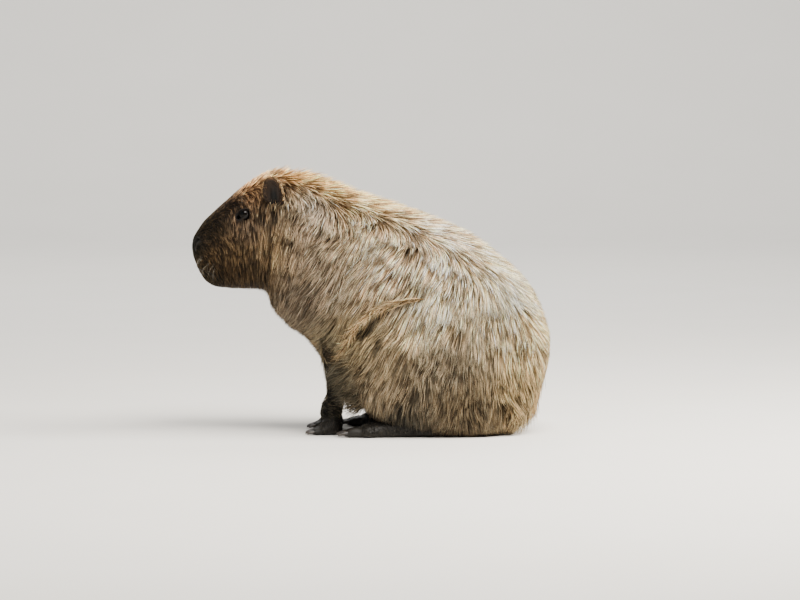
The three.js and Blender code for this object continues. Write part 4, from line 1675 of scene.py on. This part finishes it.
    @staticmethod
    def _nearest(roots: Array, leads: Array) -> Array:
        """Finds each tuft's lock.

        Args:
            roots: The tufts' roots.
            leads: The locks' roots.

        Returns:
            For each tuft the lock whose root is nearest.
        """
        found = []
        for some in np.array_split(roots, max(2 * len(roots) // AT_ONCE, 1)):
            away = (some**2).sum(1)[:, None] - 2 * some @ leads.T + (leads**2).sum(1)
            found.append(np.argmin(away, axis=1))
        return np.concatenate(found)

    def _blades(
        self,
        own: dict[str, Array],
        lead: dict[str, Array],
        nearest: Array,
        draw: np.random.Generator,
    ) -> tuple[Array, Array]:
        """Turns paths into blades: each row is drawn towards its lock's by a growing share, waves
        from side to side, and is set round with three corners.

        Args:
            own: The tufts' own paths.
            lead: Their locks' paths.
            nearest: Each tuft's lock.
            draw: The draw to use.

        Returns:
            The corners of every blade, and how bright it is against its markings.
        """
        zone = self.zone
        count = own["rows"].shape[1]
        steps = self.tuft.rings
        width = zone.by_place(zone.width, own["v"]) * draw.uniform(0.7, 1.3, count)
        wave = zone.by_place(zone.wave, own["v"])
        phase = draw.uniform(0, 2 * np.pi, lead["rows"].shape[1])[nearest]
        phase += draw.normal(0, 0.6, count)
        locks = lead["rows"].shape[1]
        shade = np.exp(0.2 * draw.normal(0, 1, locks))
        # A share of the locks is drawn dark: partly darker hair and partly painted shade of the
        # gaps between locks.
        dark = draw.random(locks) < self.dark_locks
        shade = np.where(dark, shade * self.dark, shade * self.light)
        bright = shade[nearest] * np.exp(0.32 * draw.normal(0, 1, count)) * own["brow"]
        pull = self.pull * draw.uniform(0.5, 1.15, count)
        blades = []
        for i in range(steps + 1):
            t = i / steps
            toward = lead["rows"][i][nearest] - own["rows"][i]
            toward -= own["out"][i] * (toward * own["out"][i]).sum(-1, keepdims=True) * 0.7
            reach = np.linalg.norm(toward, axis=1, keepdims=True)
            limit = np.minimum(1.0, self.reach / np.maximum(reach, 1e-6))
            middle = own["rows"][i] + toward * limit * (pull * t**1.3)[:, None]
            sway = wave * np.sin(2 * np.pi * 0.9 * t + phase) * t**0.7
            middle = middle + own["across"][i] * sway[:, None]
            middle[:, 2] = np.maximum(middle[:, 2], FLOOR_CLEAR + 1.0)
            if i == steps:
                blades.append(middle[:, None])
                break
            for k in range(3):
                turn = math.pi / 2 + k * 2 * math.pi / 3
                size = width * self.tuft.swell[i] * 0.5
                wide = size * math.cos(turn) * THREE_CORNERED
                high = size * math.sin(turn) * self.tuft.flat * 2
                corner = middle + own["across"][i] * wide[:, None] + own["out"][i] * high[:, None]
                blades.append(corner[:, None])
        points = np.concatenate(blades, axis=1)
        points[..., 2] = np.maximum(points[..., 2], FLOOR_CLEAR)
        return points, bright

    def _mesh(self, points: Array) -> tuple[bpy.types.Object, Array]:
        """All the blades as one piece.

        Args:
            points: The corners of every blade.

        Returns:
            The piece, and for each blade the order in which its faces' corners are taken.
        """
        loops, sizes, _ = self.tuft.faces()
        count, corners, _ = points.shape
        starts = np.arange(count)[:, None] * corners
        way = np.arange(len(loops))
        back = np.concatenate(
            [way[s : s + n][::-1] for s, n in zip(np.cumsum(sizes) - sizes, sizes)]
        )
        order = np.where(self._turned_in(points)[:, None], back, way)
        all_loops = (loops[order] + starts).ravel()
        name = f"coat_{self.zone.name}"
        return piece(name, points.reshape(-1, 3), all_loops, np.tile(sizes, count)), order

    @staticmethod
    def _turned_in(points: Array) -> Array:
        """Which blades would have their faces inwards: those whose first ring, seen from the next
        one, runs the other way round."""
        a, b, c = points[:, 0], points[:, 1], points[:, 2]
        way = np.cross(b - a, c - a)
        ahead = points[:, 3:6].mean(axis=1) - points[:, 0:3].mean(axis=1)
        return (way * ahead).sum(-1) < 0

    def _colour(
        self,
        made: bpy.types.Object,
        rows: Array,
        bright: Array,
        draw: np.random.Generator,
    ) -> None:
        """Colours each blade by the markings where its root, middle and tip lie, each as bright
        as it is drawn. Pale hair is drawn a little richer, because bright light pales it more.

        Args:
            made: The piece.
            rows: The tufts' rows of places.
            bright: How bright each tuft is against its markings.
            draw: The draw to use.
        """
        if self.zone.tints:
            table = np.array([linear(code) for code in self.zone.tints])
            tints = np.broadcast_to(table, (len(bright), 3, 3))
            if isinstance(self.zone.form, Ear):
                # Painted shade on the ear's hair down in its hollow.
                tints = tints * (1 - 0.9 * self.zone.form.cup(rows[0]))[:, None, None]
        else:
            stray = draw.normal(0, 6, rows[0].shape)
            places = (rows[0], (rows[0] + rows[-1]) / 2, rows[-1])
            tints = np.stack([markings(at + stray)[:, i] for i, at in enumerate(places)], axis=1)
            # Painted shade along the line under the fold that runs from the flank to the knee.
            tints *= np.stack([parting(at) for at in places], axis=1)[..., None]
            grey = tints.mean(axis=-1, keepdims=True)
            rich = self.rich + self.rich_pale * np.clip(grey, 0, 0.6)
            tints = np.maximum(grey + (tints - grey) * rich, 0.001)
        warm = 1 + 0.05 * draw.normal(0, 1, len(bright))
        levels = np.array([0.0, 0.42, 0.8]) if self.tuft.rings == 3 else np.array([0.0, 0.6])
        per_ring = [
            tints[:, 0] + (tints[:, 1] - tints[:, 0]) * np.clip(t / 0.5, 0, 1)
            + (tints[:, 2] - tints[:, 1]) * np.clip((t - 0.5) / 0.5, 0, 1)
            for t in levels
        ]
        per_corner = [ring for ring in per_ring for _ in range(3)] + [tints[:, 2]]
        colours = np.stack(per_corner, axis=1) * bright[:, None, None]
        colours[..., 0] *= warm[:, None]
        colours[..., 2] /= warm[:, None]
        paint(made, "coat_tint", np.clip(colours.reshape(-1, 3), 0.002, 0.95))

    def _bake_map(
        self, made: bpy.types.Object, v: Array, a: Array, order: Array
    ) -> None:
        """Lays each tuft on a small patch of its own, at its root's place on an unwrap of the
        skin: across by the place along the form, up by the turn round it. The unwrap is stretched
        so that the roots spread evenly and no patch meets another.

        Args:
            made: The piece.
            v: The roots' places along the form.
            a: Their turns round it.
            order: For each blade the order in which its faces' corners are taken.
        """
        count = len(v)
        columns = math.ceil(math.sqrt(count))
        by_v = np.argsort(v, kind="stable")
        column = np.empty(count, dtype=int)
        column[by_v] = np.arange(count) // columns
        place = np.empty(count, dtype=int)
        place[np.lexsort((a, column))] = np.arange(count) % columns
        corner = np.stack([(column + 0.3) / columns, (place + 0.3) / columns], axis=1)
        _, _, marks = self.tuft.faces()
        flat = corner[:, None] + marks[order] * self.patch
        layer = made.data.uv_layers.new(name="OFBake")
        layer.data.foreach_set("uv", flat.astype(np.float32).ravel())


def zones() -> list[Zone]:
    """Every stretch of the coat, with the sizes that its hair has there.

    Returns:
        The zones of both sides.
    """
    found = []
    for side in Side:
        body, thigh, foreleg = (Loft(cuts, side) for cuts in (BODY, THIGH, FORELEG))
        front, hind, fold = (Loft(cuts, side) for cuts in (FRONT_FOOT, HIND_FOOT, FOLD))
        seed = 40 if side is Side.LEFT else 80
        half = (0.0, math.pi)
        sole = ("#12100c", "#2b2821", "#45413a")
        word = side.word
        found += [
            Zone(
                f"head_{word}", body, (0.32, 6.5), half, 11500,
                [0, 1.5, 3, 4.2, 5.2, 6.2],
                [5, 9, 16, 21, 28, 38],
                [0.7, 0.85, 1.0, 1.15, 1.3, 1.5],
                [0.1, 0.3, 0.3, 0.4, 0.6, 0.7],
                [0, 0.2, 0.4, 0.6, 0.9, 1.4],
                lock=3, free=0.2, stray=0.8, rings=2, slot="short_coat", seed=seed,
            ),
            Zone(
                f"neck_{word}", body, (6.1, 9.6), half, 9000,
                [6.1, 7, 8, 9.6],
                [42, 50, 56, 58],
                [1.6, 1.6, 1.7, 1.75],
                [0.9, 0.7, 0.5, 0.4],
                [1.8, 2.0, 1.7, 1.2],
                lock=2.2, covered_by=[thigh], climbs_from=60.0, free=0.4, stray=1.4, seed=seed + 1,
            ),
            Zone(
                f"flank_{word}", body, (9.2, 12.6), half, 7900,
                [9.2, 12.6], [58, 60], [1.75, 1.75], [0.4, 0.4], [1.2, 1.0],
                lock=2.2, covered_by=[thigh], climbs_from=60.0, free=0.3, seed=seed + 2,
            ),
            Zone(
                f"rump_{word}", body, (12.2, 15.94), half, 6800,
                [12.2, 15.94], [60, 56], [1.75, 1.75], [0.4, 0.5], [1.0, 1.0],
                lock=2.2, covered_by=[thigh], climbs_from=60.0, free=0.4, seed=seed + 3,
            ),
            Zone(
                f"thigh_{word}", thigh, (0.06, 6.8), (-0.5, math.pi + 0.4), 9300,
                [0, 3, 6.8], [54, 60, 58], [1.7, 1.75, 1.75], [0.4, 0.35, 0.35], [1.6, 1.2, 1.0],
                lock=2.2, covered_by=[body], climbs_from=-200.0, free=0.25, seed=seed + 4,
            ),
            Zone(
                f"ridge_{word}", fold, (0.3, 5.8), (-1.2, 2.2), 560,
                [0, 7], [40, 46], [1.7, 1.4], [2.1, 1.0], [2.6, 2.2],
                lock=2.5, free=0.45, stray=5.0, tints=("#5e472b", "#a7875d", "#dbc096"),
                seed=seed + 9,
            ),
            Zone(
                f"crest_{word}", fold, (0.5, 4.2), (-0.6, 2.4), 300,
                [0, 7], [40, 34], [1.6, 1.5], [1.2, 0.9], [2.6, 2.2],
                lock=2.5, free=0.95, fall=(-0.62, 0.06, -0.78), stray=2.2,
                tints=("#5a4226", "#9c7c54", "#cfb187"), seed=seed + 15,
            ),
            Zone(
                f"fringe_{word}", thigh, (0.08, 1.9), (0.3, 3.7), 1500,
                [0, 1.9], [48, 54], [1.6, 1.6], [0.8, 0.5], [3.0, 2.4],
                lock=2.5, covered_by=[body], free=1.0, fall=(-0.74, 0.02, -0.67), stray=1.8,
                seed=seed + 11,
            ),
            Zone(
                f"belly_{word}", body, (9.7, 11.4), (1.9, 3.1), 800,
                [9, 11], [50, 62], [1.6, 1.6], [0.6, 0.6], [3.0, 3.0],
                lock=2.5, covered_by=[thigh], free=1.0, fall=(0.0, 0.05, -1.0), stray=1.8,
                seed=seed + 12,
            ),
            Zone(
                f"seat_{word}", body, (13.7, 15.9), (0.0, 2.0), 1200,
                [14, 16], [64, 64], [1.8, 1.8], [0.5, 0.5], [1.4, 1.4],
                lock=2.5, covered_by=[thigh], free=0.9, fall=(-0.25, 0.0, -1.0), seed=seed + 14,
            ),
            Zone(
                f"foreleg_{word}", foreleg, (1.0, 5.4), (-math.pi, math.pi), 2500,
                [1.0, 2.2, 3.2, 5.4], [44, 30, 14, 9], [1.7, 1.4, 1.2, 1.0],
                [0.6, 0.6, 0.3, 0.2], [1.6, 1.0, 0.2, 0.1],
                lock=3, covered_by=[body], free=0.3, slot="short_coat", seed=seed + 5,
            ),
            Zone(
                f"front_foot_{word}", front, (0.6, 3.5), (-1.9, 1.9), 800,
                [0, 4], [7, 6], [0.7, 0.6], [0.6, 0.5], [0.1, 0.1],
                lock=3, covered_by=[foreleg], rings=2, tints=sole, slot="bare_skin", seed=seed + 6,
            ),
            Zone(
                f"hind_foot_{word}", hind, (0.4, 4.5), (-1.9, 1.9), 1300,
                [0, 5], [9, 6], [0.8, 0.7], [0.8, 0.6], [0.1, 0.1],
                lock=3, covered_by=[thigh], rings=2, tints=sole, slot="bare_skin", seed=seed + 7,
            ),
            Zone(
                f"ear_{word}", Ear(side), (0.1, 0.97), (-2.5, 2.5), 1400,
                [0, 0.5, 1], [6, 5, 3.5], [0.7, 0.65, 0.6], [0.1, 0.2, 0.2], [0.1, 0.1, 0.1],
                lock=3, rings=2, tints=("#1a110b", "#3e2e20", "#6c563e"), slot="short_coat",
                seed=seed + 8,
            ),
        ]
        # Paler tufts along each ear's front and rear rims: painted highlight where the rims catch
        # the light.
        for edge, start in (("front", 1.35), ("rear", -2.0)):
            found.append(
                Zone(
                    f"ear_{edge}_{word}", Ear(side), (0.4, 0.98), (start, start + 0.65), 260,
                    [0, 1], [4, 4], [0.6, 0.5], [0.5, 0.5], [0.1, 0.1],
                    lock=3, rings=2, tints=("#4a3420", "#9a7850", "#d6b384"), slot="short_coat",
                    seed=seed + 13,
                )
            )
    return found


# Eyes, claws and whiskers


@dataclass
class Eye:
    """One eyeball: a globe with the cornea standing a little proud of it."""

    side: Side
    cornea: float = 1.0
    rows: int = 40
    sides: int = 48

    def build(self) -> bpy.types.Object:
        """Makes the globe: a sphere whose rows run from the middle of the pupil, raised by a bell
        of the cornea's height round it, with a mark of where the iris lies.

        Returns:
            The eyeball.
        """
        n = mirrored(EYE_OUTWARD, self.side)
        middle = mirrored(EYE_MIDDLE, self.side)
        side_way = unit(np.cross(n, [0, 0, 1]))
        up = np.cross(side_way, n)
        p, q = np.meshgrid(
            np.arange(1, self.rows) / self.rows * np.pi,
            np.arange(self.sides) / self.sides * 2 * np.pi,
            indexing="ij",
        )
        p, q = np.concatenate([[0.0, np.pi], p.ravel()]), np.concatenate([[0.0, 0.0], q.ravel()])
        radius = EYE_RADIUS + self.cornea * bell(p, 0, 0.62)
        ball = (
            np.cos(p)[:, None] * n
            + (np.sin(p) * np.cos(q))[:, None] * side_way
            + (np.sin(p) * np.sin(q))[:, None] * up
        )
        points = middle + ball * radius[:, None]
        faces = grid_faces(self.rows - 1, self.sides)
        made = piece_of_grid(f"eyeball_{self.side.word}", points, faces)
        ring = smoothstep(p, 0.22, 0.34) * (1 - smoothstep(p, 0.8, 1.0))
        layer = made.data.attributes.new("from_pupil", "FLOAT", "POINT")
        layer.data.foreach_set("value", ring.astype(np.float32))
        return made


@dataclass
class Claws:
    """The claws of one foot, each a blunt hoof-like horn that carries on from its toe."""

    name: str
    toes: Toes
    side: Side
    rooted: float = 5.0
    rows: int = 12
    sides: int = 16

    def build(self) -> bpy.types.Object:
        """Makes the horns: a ring flat below and round above, carried forwards and slightly down
        from within the toe, narrowing by the square root of what is left of its length.

        Returns:
            The claws of the foot as one piece.
        """
        grids = []
        for i in range(self.toes.count):
            tip, ahead = self.toes.line(self.side, i)
            across = np.array([-ahead[1], ahead[0], 0.0])
            t = np.arange(self.rows)[:, None] / (self.rows - 1)
            q = np.arange(self.sides)[None, :] / self.sides * 2 * np.pi
            long = self.toes.claw + self.rooted
            wide = self.toes.thick * 0.62 * np.sqrt(1 - 0.86 * t**1.5) * (0.82 + 0.18 * t)
            x = -self.rooted + long * t
            y = wide * np.cos(q)
            tall = np.where(np.sin(q) > 0, 0.95, 0.55) * wide
            drop = 3.2 * t**2
            z = self.toes.thick * 0.74 - drop + tall * np.sin(q)
            local = np.stack(np.broadcast_arrays(x, y, z), axis=-1)
            local[..., 2] = np.maximum(local[..., 2], FLOOR_CLEAR)
            axes = np.stack([ahead, across, [0, 0, 1]])
            ring = tip + local.reshape(-1, 3) @ axes
            ends = np.stack([local[0].mean(axis=0), local[-1].mean(axis=0) + [0.8, 0, -0.3]])
            grids.append((np.vstack([tip + ends @ axes, ring]), grid_faces(self.rows, self.sides)))
        return piece_of_grid(self.name, *joined_grids(grids))


@dataclass
class Whiskers:
    """The stiff pale hairs of the upper lip and the few over the eye, on both sides."""

    count: int = 12
    over_eye: int = 4
    rooted: float = 4.0
    rows: int = 7
    sides: int = 5

    def build(self) -> bpy.types.Object:
        """Makes the hairs: round cones carried out of the skin, bending away with the square of
        the distance.

        Returns:
            All of them as one piece.
        """
        draw = np.random.default_rng(SEED * 31)
        grids = []
        for side in Side:
            for _ in range(self.count):
                x, z = draw.uniform(-351, -322), draw.uniform(341, 372)
                place, way = body_place(x, z)
                length = draw.uniform(26, 54)
                ahead = unit(way + np.array([-0.25, 0.1, -0.45]) + draw.normal(0, 0.16, 3))
                bend = unit(np.array([0.55, 0.0, -0.8]) + draw.normal(0, 0.2, 3))
                root = place - way * self.rooted
                grids.append(self._hair(side, root, ahead, bend, length, 0.17))
            for _ in range(self.over_eye):
                place, way = body_place(draw.uniform(-276, -262), draw.uniform(476, 484))
                ahead = unit(way + np.array([-0.2, 0.0, 0.8]) + draw.normal(0, 0.2, 3))
                bend = unit(np.array([0.8, 0.1, 0.1]))
                root = place - way * self.rooted
                grids.append(self._hair(side, root, ahead, bend, 22, 0.15))
        return piece_of_grid("whiskers", *joined_grids(grids))

    def _hair(
        self,
        side: Side,
        root: Array,
        ahead: Array,
        bend: Array,
        length: float,
        thick: float,
    ) -> tuple[Array, Array]:
        """One hair as a closed grid: a narrowing ring carried along a parabola.

        Args:
            side: The side that it grows on.
            root: Where it starts, on the right side.
            ahead: The way that it starts.
            bend: The way that it bends.
            length: How long it is.
            thick: Its radius at the root.

        Returns:
            Places in millimetres, and the four corners of each face.
        """
        t = np.arange(self.rows) / (self.rows - 1)
        path = root + ahead * (length * t)[:, None] + bend * (0.32 * length * t**2)[:, None]
        way = unit(np.gradient(path, axis=0))
        across = unit(np.cross(way, [0.1, 0.2, 1.0]))
        up = np.cross(way, across)
        q = np.arange(self.sides) / self.sides * 2 * np.pi
        size = (thick * (1 - 0.85 * t))[:, None, None]
        ring = path[:, None] + size * (
            across[:, None] * np.cos(q)[None, :, None] + up[:, None] * np.sin(q)[None, :, None]
        )
        points = np.vstack([path[0], path[-1] + way[-1] * thick, ring.reshape(-1, 3)])
        return mirrored(points, side), grid_faces(self.rows, self.sides)


@dataclass(frozen=True)
class WhiskerFinish:
    """Thick smooth hairs without colour in them. The eye sees pale, faintly shining bristles."""

    name: str = "pale_smooth_bristle"
    pale: str = "#a8a08e"
    dark: str = "#5d5549"
    mottle: float = 18.0

    def make(self) -> bpy.types.Material:
        """The material, mottled a little along each bristle.

        Returns:
            The new material.
        """
        material, add = fresh_material(self.name)
        where = add("TexCoord").outputs["Object"]
        along = add("TexNoise", {"Vector": where, "Scale": 1000 / self.mottle})
        colour = add(
            "Mix",
            {0: along.outputs["Fac"], 6: rgba(self.dark), 7: rgba(self.pale)},
            {"data_type": "RGBA"},
        )
        shader = add(
            "BsdfPrincipled", {"Base Color": colour.outputs[2], "Roughness": 0.4, "IOR": 1.55}
        )
        add("OutputMaterial", {"Surface": shader.outputs["BSDF"]})
        return material


# The studio


@dataclass
class Studio:
    """A plain pale floor, soft light from above and a camera at the animal's left side, low and
    far off. Its sizes are in metres."""

    floor_colour: str = "#dcd9d2"
    distance: float = 9.3
    elevation: float = 4.0
    lens: float = 200.0
    aim: tuple[float, float, float] = (0.0635, 0.0, 0.275)

    def build(self) -> None:
        """Sets floor, lights, world and camera."""
        self._floor()
        middle = (0.0, 0.0, 0.3)
        self._light("key", (0.9, -1.8, 3.3), middle, 2.0, 300, (1.0, 0.955, 0.89))
        self._light("rim", (2.3, -0.4, 2.4), middle, 1.8, 240, (1.0, 0.955, 0.89))
        self._light("fill", (-2.6, -2.4, 1.0), middle, 2.4, 16, (0.96, 0.98, 1.0))
        self._light("wash", (0.0, 5.0, 5.0), (0.0, 7.0, 0.0), 5.0, 420, (1.0, 0.99, 0.97))
        world = bpy.data.worlds.new("soft_room")
        world.use_nodes = True
        back = world.node_tree.nodes["Background"]
        back.inputs["Color"].default_value = (0.95, 0.945, 0.95, 1.0)
        back.inputs["Strength"].default_value = 0.48
        bpy.context.scene.world = world
        self._camera()

    def _floor(self) -> None:
        """A wide floor, just under the animal, that curves up far behind it by a soft step."""
        wide, deep = 41, 81
        u, w = np.meshgrid(np.linspace(-1, 1, wide), np.linspace(0, 1, deep), indexing="ij")
        y = -7 + 19 * w
        z = 3.5 * smoothstep(w, 0.72, 1.0) ** 1.4 - 0.0002
        points = np.stack([14 * u, y, z], axis=-1).reshape(-1, 3)
        i, j = np.meshgrid(np.arange(wide - 1), np.arange(deep - 1), indexing="ij")
        at = i * deep + j
        faces = np.stack([at, at + deep, at + deep + 1, at + 1], axis=-1).reshape(-1, 4)
        floor = piece("floor", (points - SHIFT) / MM, faces.ravel(), np.full(len(faces), 4))
        material, add = fresh_material("pale_studio_sweep")
        where = add("TexCoord").outputs["Object"]
        grain = add("TexNoise", {"Vector": where, "Scale": 3.0, "Detail": 5.0})
        tone = add(
            "Mix",
            {0: grain.outputs["Fac"], 6: rgba(self.floor_colour), 7: rgba("#e2dfd9")},
            {"data_type": "RGBA"},
        )
        shader = add("BsdfPrincipled", {"Base Color": tone.outputs[2], "Roughness": 0.85})
        add("OutputMaterial", {"Surface": shader.outputs["BSDF"]})
        floor.data.materials.append(material)

    @staticmethod
    def _light(
        name: str,
        place: tuple[float, float, float],
        aim: tuple[float, float, float],
        size: float,
        power: float,
        colour: tuple[float, float, float],
    ) -> None:
        """Hangs a square soft light.

        Args:
            name: The light's name.
            place: Where it hangs, in metres.
            aim: The place that it is turned to.
            size: The length of its edge.
            power: Its watts.
            colour: Its red, green and blue.
        """
        lamp = bpy.data.lights.new(name, "AREA")
        lamp.size = size
        lamp.energy = power
        lamp.color = colour
        made = bpy.data.objects.new(name, lamp)
        made.location = place
        away = np.array(place) - aim
        made.rotation_euler = (
            math.atan2(math.hypot(away[0], away[1]), away[2]),
            0,
            math.atan2(away[0], -away[1]),
        )
        bpy.context.collection.objects.link(made)

    def _camera(self) -> None:
        """A long lens that looks along +Y, a few degrees down."""
        tilt = math.radians(self.elevation)
        lens = bpy.data.cameras.new("camera")
        lens.lens = self.lens
        lens.sensor_width = 36.0
        lens.clip_end = 60.0
        made = bpy.data.objects.new("camera", lens)
        made.location = (
            self.aim[0],
            self.aim[1] - self.distance * math.cos(tilt),
            self.aim[2] + self.distance * math.sin(tilt),
        )
        made.rotation_euler = (math.pi / 2 - tilt, 0, 0)
        bpy.context.collection.objects.link(made)
        bpy.context.scene.camera = made


# Putting it together

FLESH = [
    "head", "neck", "torso", "thigh_left", "thigh_right", "ear_left", "ear_right",
    "foreleg_left", "foreleg_right", "front_foot_left", "front_foot_right", "hind_foot_left",
    "hind_foot_right",
]


def settle(
    made: bpy.types.Object, material: bpy.types.Material, replaced: list[str]
) -> None:
    """Dresses a piece, ties it to the body and hides the solids' nodes that it stands for.

    Args:
        made: The piece.
        material: Its finish.
        replaced: The solids' nodes that it stands for, or none.
    """
    made.data.materials.clear()
    made.data.materials.append(material)
    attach(made, "root")
    if replaced:
        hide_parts(*replaced)
    LOG.info("%s: %d faces", made.name, len(made.data.polygons))


def main() -> None:
    """Builds the studio, the skin, the coat and the small hard parts, in that order."""
    logging.basicConfig(level=logging.INFO, format="%(name)s %(message)s")
    Studio().build()
    settle(Skin().build(), SkinFinish().make(), FLESH)
    hair = HairFinish().make()
    for zone in zones():
        settle(Coat(zone).build(), hair, [])
    wet, horn = EyeFinish().make(), HornFinish().make()
    for side in Side:
        settle(Eye(side).build(), wet, [f"eye_{side.word}"])
        for limb, toes in (("front", FRONT_TOES), ("hind", HIND_TOES)):
            claws = Claws(f"claws_{limb}_{side.word}", toes, side)
            nodes = [f"{limb}_claw_{side.word}_{i + 1}" for i in range(toes.count)]
            settle(claws.build(), horn, nodes)
    settle(Whiskers().build(), WhiskerFinish().make(), [])


if __name__ == "__main__":
    main()
